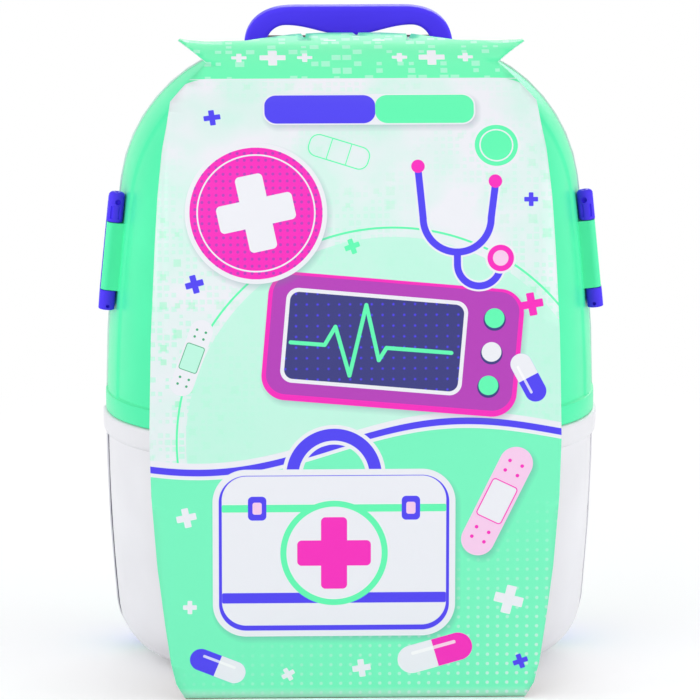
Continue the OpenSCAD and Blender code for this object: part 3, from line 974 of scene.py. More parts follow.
def loft(rings: Sequence[Sequence[Vector]]) -> bmesh.types.BMesh:
    """Joins closed rings of points into one closed skin.

    Args:
        rings: the rings, each with the same number of points.

    Returns:
        The mesh, with its faces outwards.
    """
    bm = bmesh.new()
    loops = []
    for ring in rings:
        verts = [bm.verts.new(p) for p in ring]
        loops.append([bm.edges.new((verts[i], verts[(i + 1) % len(verts)])) for i in range(len(verts))])
    for first, second in zip(loops, loops[1:]):
        bmesh.ops.bridge_loops(bm, edges=first + second)
    for edges in (loops[0], loops[-1]):
        bmesh.ops.edgeloop_fill(bm, edges=edges)
    bmesh.ops.recalc_face_normals(bm, faces=bm.faces)
    return bm


def block(low: Sequence[float], high: Sequence[float]) -> bmesh.types.BMesh:
    """Makes a box between two corners."""
    bm = bmesh.new()
    size = Vector(high) - Vector(low)
    middle = (Vector(high) + Vector(low)) / 2
    bmesh.ops.create_cube(bm, size=1.0, matrix=Matrix.Translation(middle) @ Matrix.Diagonal((*size, 1.0)))
    return bm


def rod(centre: Sequence[float], axis: Sequence[float], radius: float, length: float,
        sides: int = 48) -> bmesh.types.BMesh:
    """Makes a round bar.

    Args:
        centre: its middle.
        axis: its direction.
        radius: its radius.
        length: its length.
        sides: number of sides.

    Returns:
        The mesh.
    """
    bm = bmesh.new()
    turn = Vector(axis).to_track_quat("Z", "Y").to_matrix().to_4x4()
    bmesh.ops.create_cone(bm, cap_ends=True, segments=sides, radius1=radius,
                          radius2=radius, depth=length,
                          matrix=Matrix.Translation(Vector(centre)) @ turn)
    return bm


class Cut(Enum):
    """Ways to combine two solids."""

    AWAY = "DIFFERENCE"
    ADD = "UNION"
    COMMON = "INTERSECT"


def combine(base: bmesh.types.BMesh, other: bmesh.types.BMesh, how: Cut) -> bmesh.types.BMesh:
    """Combines two closed meshes, which are both freed.

    Args:
        base: the first mesh.
        other: the second mesh.
        how: what to do with them.

    Returns:
        The combined mesh.
    """
    things = []
    for bm in (base, other):
        mesh = bpy.data.meshes.new("solid")
        bm.to_mesh(mesh)
        bm.free()
        things.append(bpy.data.objects.new("solid", mesh))
        bpy.context.scene.collection.objects.link(things[-1])
    tool = things[0].modifiers.new("combine", "BOOLEAN")
    tool.operation, tool.solver, tool.object = how.value, "EXACT", things[1]
    bpy.context.view_layer.update()
    result = bmesh.new()
    result.from_object(things[0], bpy.context.evaluated_depsgraph_get())
    for thing in things:
        mesh = thing.data
        bpy.data.objects.remove(thing)
        bpy.data.meshes.remove(mesh)
    return result


def round_bar(w: float, h: float, corner: float, y0: float, y1: float, middle: Point2) -> bmesh.types.BMesh:
    """Makes an upright bar with rounded corners that runs along Y.

    Args:
        w: width.
        h: height.
        corner: corner radius.
        y0: one end.
        y1: other end.
        middle: its middle in X and Z.

    Returns:
        The mesh.
    """
    bm = block((-w / 2, y0, -h / 2), (w / 2, y1, h / 2))
    along = [e for e in bm.edges if abs((e.verts[0].co - e.verts[1].co).normalized().y) > 0.9]
    bmesh.ops.bevel(bm, geom=along, offset=corner, offset_type="OFFSET", affect="EDGES", segments=8,
                    profile=0.5, material=-1, clamp_overlap=True)
    bmesh.ops.translate(bm, vec=(middle[0], 0.0, middle[1]), verts=bm.verts)
    return bm


@dataclass
class Shells:
    """The moulded lid, the tub, the tub's panel, the badge and the back shell."""

    shop: Workshop
    shape: CaseShape = field(default_factory=CaseShape)
    latch_z: float = 283.0
    latch_y: float = -4.0
    latch_r: float = 5.3
    latch_h: float = 79.0
    rail_low: float = -26.0
    rail_high: float = 19.0
    pin_d: float = 3.0
    hinge_x: float = 30.0
    hinge_r: float = 4.0
    hinge_w: float = 16.0
    hinge_room: float = 22.0
    seam_gap: float = 0.55
    step_in: float = 1.7
    # How far the ring of painted seam shade stands out past the tub's side.
    seam_shade_out: float = 0.75

    def build(self) -> None:
        """Makes the pieces."""
        self._lid()
        self._tub()
        self._tub_panel()
        self.shop.recast("lid_badge", "violet_plastic", 0.0)
        self.shop.recast("back_shell", "white_plastic", 0.0)

    def latch_frame(self, side: int) -> Matrix:
        """Place and lean of a latch.

        Args:
            side: -1 for the left latch, 1 for the right.

        Returns:
            The matrix from the latch's own frame to the case's.
        """
        shape = self.shape
        rise = self.latch_z - shape.side_c[1]
        x = shape.side_c[0] + math.sqrt(shape.side_r**2 - rise**2) + 0.8
        lean = math.asin(rise / shape.side_r)
        place = Matrix.Translation((side * x, self.latch_y, self.latch_z))
        return place @ Matrix.Rotation(-side * lean, 4, "Y") @ Matrix.Diagonal((float(side), 1.0, 1.0, 1.0))

    def placed(self, bm: bmesh.types.BMesh, side: int) -> bmesh.types.BMesh:
        """Moves a mesh from a latch's frame to the case's.

        Args:
            bm: the mesh.
            side: -1 for the left latch, 1 for the right.

        Returns:
            The same mesh.
        """
        bmesh.ops.transform(bm, matrix=self.latch_frame(side), verts=bm.verts)
        if side < 0:
            bmesh.ops.reverse_faces(bm, faces=bm.faces)
        return bm

    def _lid(self) -> None:
        """Lofts the hollow dome and cuts its latch recesses and hinge gaps."""
        shape = self.shape
        hollow = loft(shape.dome(shape.wall, shape.rim_z - 4.0, 2.0))
        for side in (-1, 1):
            backing = block((-9.0, -9.0, -self.latch_h / 2 - 3.0), (3.0, 9.0, self.latch_h / 2 + 3.0))
            hollow = combine(hollow, self.placed(backing, side), Cut.AWAY)
        lid = combine(loft(shape.dome(0.0, shape.rim_z + 0.4, -0.15)), hollow, Cut.AWAY)
        y, z = shape.seam_y, shape.hinge_z
        for side in (-1, 1):
            room = rod((0.0, 0.0, 0.0), (0.0, 0.0, 1.0), self.latch_r + 0.7, self.latch_h + 2.0)
            lid = combine(lid, self.placed(room, side), Cut.AWAY)
            lid = combine(lid, block((side * self.hinge_x - self.hinge_room, y - 5.0, z - 8.0),
                                     (side * self.hinge_x + self.hinge_room, y + 7.0, z + 6.0)), Cut.AWAY)
        for side in (-1, 1):
            high, middle = self.rail_high - self.rail_low, (self.rail_high + self.rail_low) / 2
            r = self.latch_r - 0.3
            rail = combine(rod((0.0, 0.0, middle), (0.0, 0.0, 1.0), r, high),
                           block((-8.0, -r, self.rail_low), (0.0, r - 1.4, self.rail_high)), Cut.ADD)
            rail = combine(rail, rod((0.0, 0.0, 0.0), (0.0, 0.0, 1.0), self.pin_d / 2, 2 * self.latch_h),
                           Cut.AWAY)
            lid = combine(lid, self.placed(rail, side), Cut.ADD)
            x, half = side * self.hinge_x, self.hinge_w / 2
            knuckle = combine(rod((x, y, z), (1.0, 0.0, 0.0), self.hinge_r, self.hinge_w),
                              block((x - half, y - 8.0, z - self.hinge_r), (x + half, y, z + 1.0)), Cut.ADD)
            bore = rod((x, y, z), (1.0, 0.0, 0.0), self.pin_d / 2 + 0.06, 20.0)
            lid = combine(lid, combine(knuckle, bore, Cut.AWAY), Cut.ADD)
        self.shop.piece("lid_moulding", lid, ["lid"], ["mint_plastic"], 30.0)

    def _corner_levels(self, inset: float, low: float) -> list[Point2]:
        """Heights up the rounded bottom corner, all drawn in by the same amount.

        Args:
            inset: how far the sections are drawn in.
            low: lowest height.

        Returns:
            Height and growth of each section.
        """
        shape = self.shape
        heights = [shape.corner_c[1] - shape.corner_r * math.cos(math.radians(a)) for a in range(10, 85, 6)]
        return [(low, -inset)] + [(z, -inset) for z in heights if z > low + 0.3]

    def _tub(self) -> None:
        """Lofts the tub with its floor corner, rolled rim, inner lip and tray ledge."""
        shape = self.shape
        rim, wall, tray = shape.rim_z, shape.wall, 160.0
        walls = [(z, -self.step_in) for z in (50.0, 70.0, 90.0, 110.0, 130.0, 145.0)]
        roll = [(-15.4, -self.step_in), (-14.8, -1.0), (-14.2, 0.5), (-13.0, 1.25), (-11.0, 1.6),
                (-7.0, 1.78),
                (-2.5, 1.8), (-1.2, 1.6), (-0.4, 1.1), (0.0, 0.3), (0.02, -3.2), (4.5, -3.4), (5.0, -3.9)]
        outer = self._corner_levels(self.step_in, shape.base_z + 0.05) + walls
        outer += [(rim + z, grow) for z, grow in roll]
        rear = shape.seam_y - self.seam_gap
        tub = loft([shape.plan_ring(z, grow, rear) for z, grow in outer])
        inner = self._corner_levels(wall, shape.base_z + wall) + [(z, -wall) for z, _ in walls]
        inner += [(tray - 4.0, -wall), (tray - 3.98, -wall - 5.0), (tray, -wall - 5.0),
                  (tray + 0.02, -wall - 2.7), (rim + 6.0, -wall - 2.7)]
        hollow = loft([shape.plan_ring(z, grow, shape.seam_y + 1.0) for z, grow in inner])
        self.shop.piece("tub_moulding", combine(tub, hollow, Cut.AWAY), ["front_tub"], ["white_plastic"],
                        28.0)
        # A thin dark ring paints the shadow in the seam between tub and back shell.
        self._lay_seam_shade(rear, rim - 15.0)

    def _lay_seam_shade(self, rear: float, top: float) -> None:
        """Lays a thin dark ring in the seam between tub and back shell, which paints the shadow of the parting
        line.

        Args:
            rear: where the tub's edge ends.
            top: height that the ring of painted shade runs up to.
        """
        shape = self.shape
        levels = [z for z, _ in self._corner_levels(0.0, shape.base_z + 1.0)] + [60.0, 100.0, top]
        skins = [loft([shape.plan_ring(z, -self.step_in + out, shape.seam_y + 1.0) for z in levels])
                 for out in (self.seam_shade_out, -0.9)]
        core = block((-150.0, rear - 5.0, 0.0), (150.0, shape.seam_y + 5.0, shape.base_z + 2.0))
        ring = combine(combine(skins[0], skins[1], Cut.AWAY), core, Cut.AWAY)
        slab = block((-200.0, rear + 0.02, 0.0), (200.0, shape.seam_y - 0.02, 400.0))
        self.shop.piece("seam_shade_ring", combine(ring, slab, Cut.COMMON), ["front_tub"], ["seam_shade_dark"], 30.0,
                        self.shop.body_of("front_tub"))

    def _tub_panel(self) -> None:
        """Cuts the tub's printed panel out of a skin that follows the wall."""
        shape = self.shape
        levels = (40.0, 50.0, 70.0, 90.0, 110.0, 130.0, 150.0)
        skin = loft([shape.plan_ring(z, 0.6 - self.step_in, shape.seam_y) for z in levels])
        core = loft([shape.plan_ring(z, 0.02 - self.step_in, shape.seam_y + 1.0)
                     for z in (39.0, *levels[1:-1], 151.0)])
        panel = combine(skin, core, Cut.AWAY)
        panel = combine(panel, round_bar(150.0, 92.0, 24.0, -130.0, -40.0, (0.0, 98.0)), Cut.COMMON)
        self.shop.piece("tub_print", panel, ["tub_panel"], ["printed_tub"], 30.0)


def slab(corners: Sequence[Point2], radii: Sequence[float], x0: float, x1: float,
         edge: float = 0.0) -> bmesh.types.BMesh:
    """Makes a plate across X from a polygon in Y and Z.

    Args:
        corners: corners of the polygon.
        radii: corner radii.
        x0: inner face.
        x1: outer face.
        edge: radius of the outer face's edge.

    Returns:
        The mesh.
    """
    ring = []
    for i, (corner, radius) in enumerate(zip(corners, radii)):
        here = Vector(corner)
        before = (Vector(corners[i - 1]) - here).normalized()
        after = (Vector(corners[(i + 1) % len(corners)]) - here).normalized()
        half = before.angle(after) / 2
        start, end = here + before * radius / math.tan(half), here + after * radius / math.tan(half)
        middle = here + (before + after).normalized() * radius / math.sin(half)
        for k in range(ARC_STEPS + 1):
            spoke = (start - middle).lerp(end - middle, k / ARC_STEPS)
            ring.append(middle + spoke.normalized() * radius)
    levels = [(x0, 0.0), (x1 - edge, 0.0)]
    if edge:
        turns = [math.radians(90.0 * k / 4) for k in range(1, 5)]
        levels += [(x1 - edge * (1 - math.sin(t)), edge * (1 - math.cos(t))) for t in turns]
    centre = sum(ring, Vector((0.0, 0.0))) / len(ring)
    rings = []
    for x, inset in levels:
        scaled = [p - (p - centre).normalized() * inset for p in ring]
        rings.append([Vector((x, p.x, p.y)) for p in scaled])
    return loft(rings)


@dataclass
class Latches:
    """Side latches: two knuckles on the pin, a wing along the flank, its facing and the hook behind it."""

    shells: Shells
    reach: float = 48.0
    fall: float = 0.2
    knuckle_low: float = 13.0
    knuckle_up: float = 20.0
    facing_in: float = 1.6
    facing_deep: float = 1.1
    bore_d: float = 3.12
    flute: float = 1.0
    dimple: float = 1.9

    def build(self) -> None:
        """Makes both latches and their facings."""
        shop = self.shells.shop
        for side, name in ((-1, "left"), (1, "right")):
            shop.piece(f"latch_{name}_moulding", self.shells.placed(self._moulding(), side),
                       [f"latch_{name}"], ["violet_plastic"], 35.0)
            low, high = self._outer_faces()
            facing = slab(self._outline(12.2, 42.8, 4.8), (6.0, 8.8, 8.8, 6.0), low, high, 0.4)
            shop.piece(f"latch_{name}_facing", self.shells.placed(facing, side), [f"latch_panel_{name}"],
                       ["printed_latch"], 35.0)

    def _outer_faces(self) -> Point2:
        """Where the facing's inner and outer faces lie."""
        low = self.shells.latch_r - self.facing_in
        return low, low + self.facing_deep

    def _outline(self, y0: float, y1: float, inset: float) -> list[Point2]:
        """Corners of the wing, its seat or its facing, with a top edge that falls towards the back.

        Args:
            y0: front edge.
            y1: rear edge.
            inset: how far it stays inside the wing at the top and bottom.

        Returns:
            The corners in Y and Z.
        """
        half = self.shells.latch_h / 2
        top = half - 1.0 - inset
        return [(y0, inset - half), (y1, inset - half), (y1, top - self.fall * y1),
                (y0, top - self.fall * y0)]

    def _barrel(self, low: float, high: float, round_low: float, round_high: float) -> bmesh.types.BMesh:
        """Makes a knuckle with rounded ends.

        Args:
            low: lower end.
            high: upper end.
            round_low: radius of the lower edge.
            round_high: radius of the upper edge.

        Returns:
            The mesh.
        """
        r = self.shells.latch_r
        turns = [math.radians(90.0 * k / 6) for k in range(7)]
        levels = [(low + round_low * (1 - math.sin(t)), round_low * (1 - math.cos(t)))
                  for t in reversed(turns)]
        levels += [(high - round_high * (1 - math.sin(t)), round_high * (1 - math.cos(t))) for t in turns]
        rings = []
        for z, inset in levels:
            rings.append([Vector(((r - inset) * math.cos(math.tau * k / 64),
                                  (r - inset) * math.sin(math.tau * k / 64), z)) for k in range(64)])
        return loft(rings)

    def _moulding(self) -> bmesh.types.BMesh:
        """Makes a latch in its own frame."""
        r, half = self.shells.latch_r, self.shells.latch_h / 2
        low, high = self.knuckle_low - half, half - self.knuckle_up
        wing = slab(self._outline(0.0, self.reach, 0.0), (3.0, 13.0, 12.0, 2.0), 0.4, r, 1.2)
        wing = combine(wing, block((-1.0, -r - 1.0, low), (8.0, r + 0.6, high)), Cut.AWAY)
        wing = combine(wing, slab(self._outline(12.0, 43.0, 4.6), (6.0, 9.0, 9.0, 6.0), r - self.facing_in,
                                  r + 3.0),
                       Cut.AWAY)
        wing = combine(wing, block((-1.0, 39.4, -19.0), (3.1, 44.3, 19.0)), Cut.AWAY)
        wing = combine(wing, block((-0.3, 44.4, -17.0), (1.7, 47.2, 17.0)), Cut.ADD)
        wing = combine(wing, self._barrel(-half, low, 0.8, 0.5), Cut.ADD)
        wing = combine(wing, self._barrel(high, half, 0.8, 2.6), Cut.ADD)
        wing = combine(wing, rod((0.0, 0.0, 0.0), (0.0, 0.0, 1.0), self.bore_d / 2, half * 4), Cut.AWAY)
        for x, z, radius in ((-1.2, half - 6.4, self.dimple), (-0.8, -half + 2.6, 1.2)):
            wing = combine(wing, rod((x, -r, z), (0.0, -1.0, 0.0), radius, 6.0, 24), Cut.AWAY)
        for turn in (-122.0, -62.0):
            a = math.radians(turn)
            wing = combine(wing, rod((r * math.cos(a), r * math.sin(a), high + 6.4), (0.0, 0.0, 1.0),
                                     self.flute, 8.4, 16), Cut.AWAY)
        return wing


@dataclass
class Wheels:
    """Tyres with a grooved tread."""

    shop: Workshop
    x: float = 126.0
    y: float = 76.0
    z: float = 26.0
    radius: float = 26.0
    inner: float = 17.0
    half_w: float = 10.0
    groove: float = 0.8
    steps: int = 144
    pitch: int = 6
    rib: float = 1.8
    tread: float = 7.5
    notch: int = 2

    def build(self) -> None:
        """Turns both tyres."""
        for side, name in ((-1, "left"), (1, "right")):
            self.shop.piece(f"tyre_{name}", self._tyre(side), [f"wheel_{name}"], ["lavender_plastic"], 30.0)

    def _tyre(self, side: int) -> bmesh.types.BMesh:
        """Turns a tyre about its axle.

        Args:
            side: -1 for the left wheel, 1 for the right.

        Returns:
            The mesh.
        """
        w, out = self.half_w, self.radius
        half = [(1.6, out), (1.9, out), (7.3, out), (7.6, out), (8.8, out - 0.35), (9.6, out - 1.2),
                (w, out - 2.6), (w, self.inner + 2.6), (9.6, self.inner + 1.2), (8.0, self.inner)]
        profile = half + [(-x, r) for x, r in reversed(half)]
        bm = bmesh.new()
        rows = []
        for k in range(self.steps):
            a = math.tau * k / self.steps
            row = []
            for x, r in profile:
                grooved = k % self.pitch < self.notch and self.rib < abs(x) < self.tread and r == out
                cut = self.groove if grooved else 0.0
                row.append(bm.verts.new((side * self.x + x, self.y + (r - cut) * math.cos(a),
                                         self.z + (r - cut) * math.sin(a))))
            rows.append(row)
        for k, row in enumerate(rows):
            after = rows[(k + 1) % self.steps]
            for i in range(len(row)):
                j = (i + 1) % len(row)
                bm.faces.new((row[i], row[j], after[j], after[i]))
        bmesh.ops.recalc_face_normals(bm, faces=bm.faces)
        return bm


@dataclass
class CarryHandle:
    """Handle over the crown, with a palm swell and a finger lobe on each side."""

    shop: Workshop
    width: float = 139.0
    top: float = 437.0
    leg: float = 14.5
    thick: float = 16.0
    y: float = 58.0
    foot_z: float = 396.0
    arch: float = 12.5
    swell: float = 7.0
    lobe: float = 13.0
    corner: Point2 = (34.0, 28.0)
    square: float = 2.35
    edge: float = 5.8

    def build(self) -> None:
        """Extrudes the handle's outline, rounds its edges and adds its feet."""
        outer, inner = self._outer(), self._inner()
        ring = outer + [(-x, z) for x, z in reversed(outer[:-1])]
        ring += [(-x, z) for x, z in reversed(inner)] + inner[1:]
        bm = bmesh.new()
        face = bm.faces.new([bm.verts.new((x, self.y - self.thick / 2, z)) for x, z in ring])
        grown = bmesh.ops.extrude_face_region(bm, geom=[face])
        moved = [v for v in grown["geom"] if isinstance(v, bmesh.types.BMVert)]
        bmesh.ops.translate(bm, vec=(0.0, self.thick, 0.0), verts=moved)
        bmesh.ops.recalc_face_normals(bm, faces=bm.faces)
        rims = [e for e in bm.edges if len(e.link_faces) == 2
                and abs(e.verts[0].co.y - e.verts[1].co.y) < 0.01]
        bmesh.ops.bevel(bm, geom=rims, offset=self.edge, offset_type="OFFSET", affect="EDGES", segments=6,
                        profile=0.5, material=-1, clamp_overlap=True)
        for side in (-1, 1):
            x = side * (self.width / 2 - self.leg / 2 - 2.0)
            foot = block((x - 12.25, self.y - 12.0, self.foot_z),
                         (x + 12.25, self.y + 12.0, self.foot_z + 3.0))
            up = [e for e in foot.edges if abs(e.verts[0].co.z - e.verts[1].co.z) > 1.0]
            bmesh.ops.bevel(foot, geom=up, offset=4.0, offset_type="OFFSET", affect="EDGES", segments=5,
                            profile=0.5, material=-1, clamp_overlap=True)
            bm = combine(bm, foot, Cut.ADD)
        self.shop.piece("handle_moulding", bm, ["carry_handle"], ["violet_plastic"], 40.0)

    def _outer(self) -> list[Point2]:
        """Right half of the outer outline, from the foot to the middle of the top."""
        a, b = self.corner
        cx, cz = self.width / 2 - a, self.top - b
        points = [(self.width / 2, self.foot_z), (self.width / 2, self.foot_z + 6.0)]
        for i in range(19):
            turn = math.radians(90.0 * i / 18)
            points.append((cx + a * math.cos(turn) ** (2 / self.square),
                           cz + b * math.sin(turn) ** (2 / self.square)))
        return points + [(0.0, self.top)]

    def _inner(self) -> list[Point2]:
        """Right half of the inner outline, from the middle of the palm swell to the foot."""
        reach = self.width / 2 - self.leg
        flat = reach - self.lobe
        points = []
        for i in range(17):
            x = flat * i / 16
            points.append((x, self.top - self.arch - self.swell * (0.5 + 0.5 * math.cos(math.pi * x / flat))))
        for i in range(1, 11):
            turn = math.radians(90.0 - 9.0 * i)
            points.append((flat + self.lobe * math.cos(turn),
                           self.top - self.arch - self.lobe + self.lobe * math.sin(turn)))
        return points + [(reach, self.foot_z + 3.0), (reach, self.foot_z)]


# ---------------------------------------------------------------- the card wrap


@dataclass
class CardCurve:
    """Side view of the wrap's front, as a line from the floor fold up over the crown."""

    seam_y: float = 30.0
    depth: float = 133.0
    dome_n: float = 2.6
    band_z: float = 186.2
    top_z: float = 424.26
    inset: float = 0.25
    points: list[Point2] = field(default_factory=list)
    lengths: list[float] = field(default_factory=list)

    def __post_init__(self) -> None:
        """Works out the line and its length up to each point."""
        self.points = [(-97.0 + self.inset, 1.4), (-100.6 + self.inset, 60.0)]
        for k in range(72, -1, -1):
            t = math.sin(math.pi / 2 * k / 72) ** (2 / self.dome_n)
            rise = max(0.0, 1.0 - t**self.dome_n) ** (1 / self.dome_n)
            self.points.append((self.seam_y - (self.depth - self.inset) * t,
                                self.band_z + (self.top_z - self.inset - self.band_z) * rise))
        total = 0.0
        self.lengths = [0.0]
        for (y0, z0), (y1, z1) in zip(self.points, self.points[1:]):
            total += math.hypot(y1 - y0, z1 - z0)
            self.lengths.append(total)

    def at(self, length: float) -> Point2:
        """Point at a length along the line.

        Args:
            length: length in millimetres from the floor fold.

        Returns:
            Its Y and Z.
        """
        for i, end in enumerate(self.lengths[1:]):
            if length <= end or i == len(self.lengths) - 2:
                start = self.lengths[i]
                share = (length - start) / (end - start)
                (y0, z0), (y1, z1) = self.points[i], self.points[i + 1]
                return y0 + (y1 - y0) * share, z0 + (z1 - z0) * share
        raise ValueError(length)

    def length_at_view(self, height: float, tilt: float) -> float:
        """Length at which the line has a height as seen from the front and a little above.

        Args:
            height: height in that view.
            tilt: how far above the horizon the view is, in degrees.

        Returns:
            The length along the line.
        """
        c, s = math.cos(math.radians(tilt)), math.sin(math.radians(tilt))
        low, high = 0.0, self.lengths[-1]
        for _ in range(40):
            mid = (low + high) / 2
            y, z = self.at(mid)
            if z * c + y * s < height:
                low = mid
            else:
                high = mid
        return (low + high) / 2


@dataclass
class CardWrap:
    """The die-cut card that is folded round the case: front, back and floor."""

    shop: Workshop
    thickness: float = 0.5
    tilt: float = 11.0
    outline: tuple[Point2, ...] = (
        (111.5, -18.5), (117.0, -8.0), (120.5, 6.0), (124.0, 30.0), (129.0, 69.0), (132.7, 115.0),
        (133.8, 153.0),
        (132.3, 220.0), (129.4, 280.0), (127.6, 310.0), (124.5, 340.0), (121.5, 356.0), (119.0, 372.0),
        (95.0, 398.0), (113.6, 411.4), (112.6, 412.9), (69.0, 414.0), (54.0, 416.5), (37.0, 419.0),
        (20.0, 420.0), (0.0, 420.0))
    neck: int = 13
    ear_from: float = 92.0
    ear_reach: float = 20.0
    curl_left: float = 2.6
    curl_right: float = 1.4
    crown_half: float = 45.0
    row: float = 6.0
    strip_half: float = 63.0
    strip_out: float = 130.0
    strip_low: Point2 = (60.0, 400.0)
    strip_high: Point2 = (99.0, 430.0)
    outward: float = 0.3
    tears: tuple[tuple[float, float, float, float], ...] = (
        (38.6, 3.4, 17.0, -1.2), (3.6, 4.0, 11.0, 0.6), (-31.0, 3.2, 18.0, 0.9))

    def build(self) -> None:
        """Makes the wrap's pieces."""
        self._front()
        self._flat("sleeve_back", ["printed_back", "raw_card"])
        self._flat("sleeve_bottom", ["cut_edge", "raw_card"])

    def _front(self) -> None:
        """Cuts the front out of a flat sheet and bends it over the case."""
        curve = CardCurve()
        right = [(x, max(0.0, curve.length_at_view(u, self.tilt))) for x, u in self.outline]
        ring = [p for p in right if p[0] > self.crown_half] + self._torn_edge(right)
        ring += [(-x, s) for x, s in reversed(right) if x > self.crown_half]
        bm = bmesh.new()
        bm.faces.new([bm.verts.new((x, s, 0.0)) for x, s in ring])
        top = max(s for _, s in ring)
        cuts = [((0.0, self.row * i, 0.0), (0.0, 1.0, 0.0)) for i in range(1, int(top / self.row) + 1)]
        cuts += [((2.0 * self.row * i, 0.0, 0.0), (1.0, 0.0, 0.0)) for i in range(-11, 12)]
        for place, normal in cuts:
            bmesh.ops.bisect_plane(bm, geom=bm.verts[:] + bm.edges[:] + bm.faces[:], dist=0.0001,
                                   plane_co=place, plane_no=normal)
        uv = bm.loops.layers.uv.new("Sheet")
        for face in bm.faces:
            for loop in face.loops:
                loop[uv].uv = (loop.vert.co.x * MM, loop.vert.co.y * MM)
        neck = right[self.neck][1]
        for vert in bm.verts:
            x, along = vert.co.x, vert.co.y
            y, z = curve.at(along)
            ear = max(0.0, (abs(x) - self.ear_from) / self.ear_reach) if along > neck - 1.0 else 0.0
            curl = (self.curl_left if x < 0 else self.curl_right) * ear**2
            vert.co = Vector((x, y - curl, z + curl))
        bm.normal_update()
        if sum(f.normal.y * f.calc_area() for f in bm.faces) > 0:
            bmesh.ops.reverse_faces(bm, faces=bm.faces)
        made = self.shop.piece("card_front", bm, ["sleeve_front"], ["printed_front", "raw_card", "cut_edge"],
                               40.0)
        self._thicken(made)

    def _torn_edge(self, right: Sequence[Point2]) -> list[Point2]:
        """Middle of the crown's edge, with the small tears that opening the handle slot has left.

        Args:
            right: the right half of the flat outline.

        Returns:
            The points from right to left.
        """
        half = [p for p in right if p[0] <= self.crown_half]
        edge = half + [(-x, s) for x, s in reversed(half[:-1])]
        for x, width, depth, lean in self.tears:
            i = next(k for k, p in enumerate(edge) if p[0] < x)
            (x0, s0), (x1, s1) = edge[i - 1], edge[i]
            top = s0 + (s1 - s0) * (x0 - x) / (x0 - x1)
            edge[i:i] = [(x + width / 2, top), (x + lean, top - depth), (x - width / 2, top)]
        return edge

    def _thicken(self, made: bpy.types.Object) -> None:
        """Gives a sheet its thickness, with the raw card inside and along its cut edges.

        Args:
            made: the sheet.
        """
        wall = made.modifiers.new("Card", "SOLIDIFY")
        wall.thickness = self.thickness * MM
        wall.offset = -1.0
        wall.use_even_offset = True
        wall.material_offset = 1
        wall.material_offset_rim = 2

    def _flat(self, node: str, finishes: list[str]) -> None:
        """Dresses a flat part of the wrap: the back's outer side is printed, the floor shows its front edge.

        Args:
            node: the CAD node.
            finishes: finish of that side or edge, then of the rest.
        """
        bm = self.shop.copy_of(node)
        faced = Vector((0.0, 1.0, 0.0)) if node == "sleeve_back" else Vector((0.0, -1.0, 0.0))
        if node == "sleeve_back":
            for side in (-1, 1):
                past = sorted((side * self.strip_half, side * self.strip_out))
                strip_end = block((past[0], *self.strip_low), (past[1], *self.strip_high))
                bm = combine(bm, strip_end, Cut.AWAY)
            bm.normal_update()
        for face in bm.faces:
            face.material_index = 0 if face.normal.dot(faced) > self.outward else 1
        self.shop.piece(node + "_card", bm, [node], finishes, 30.0)


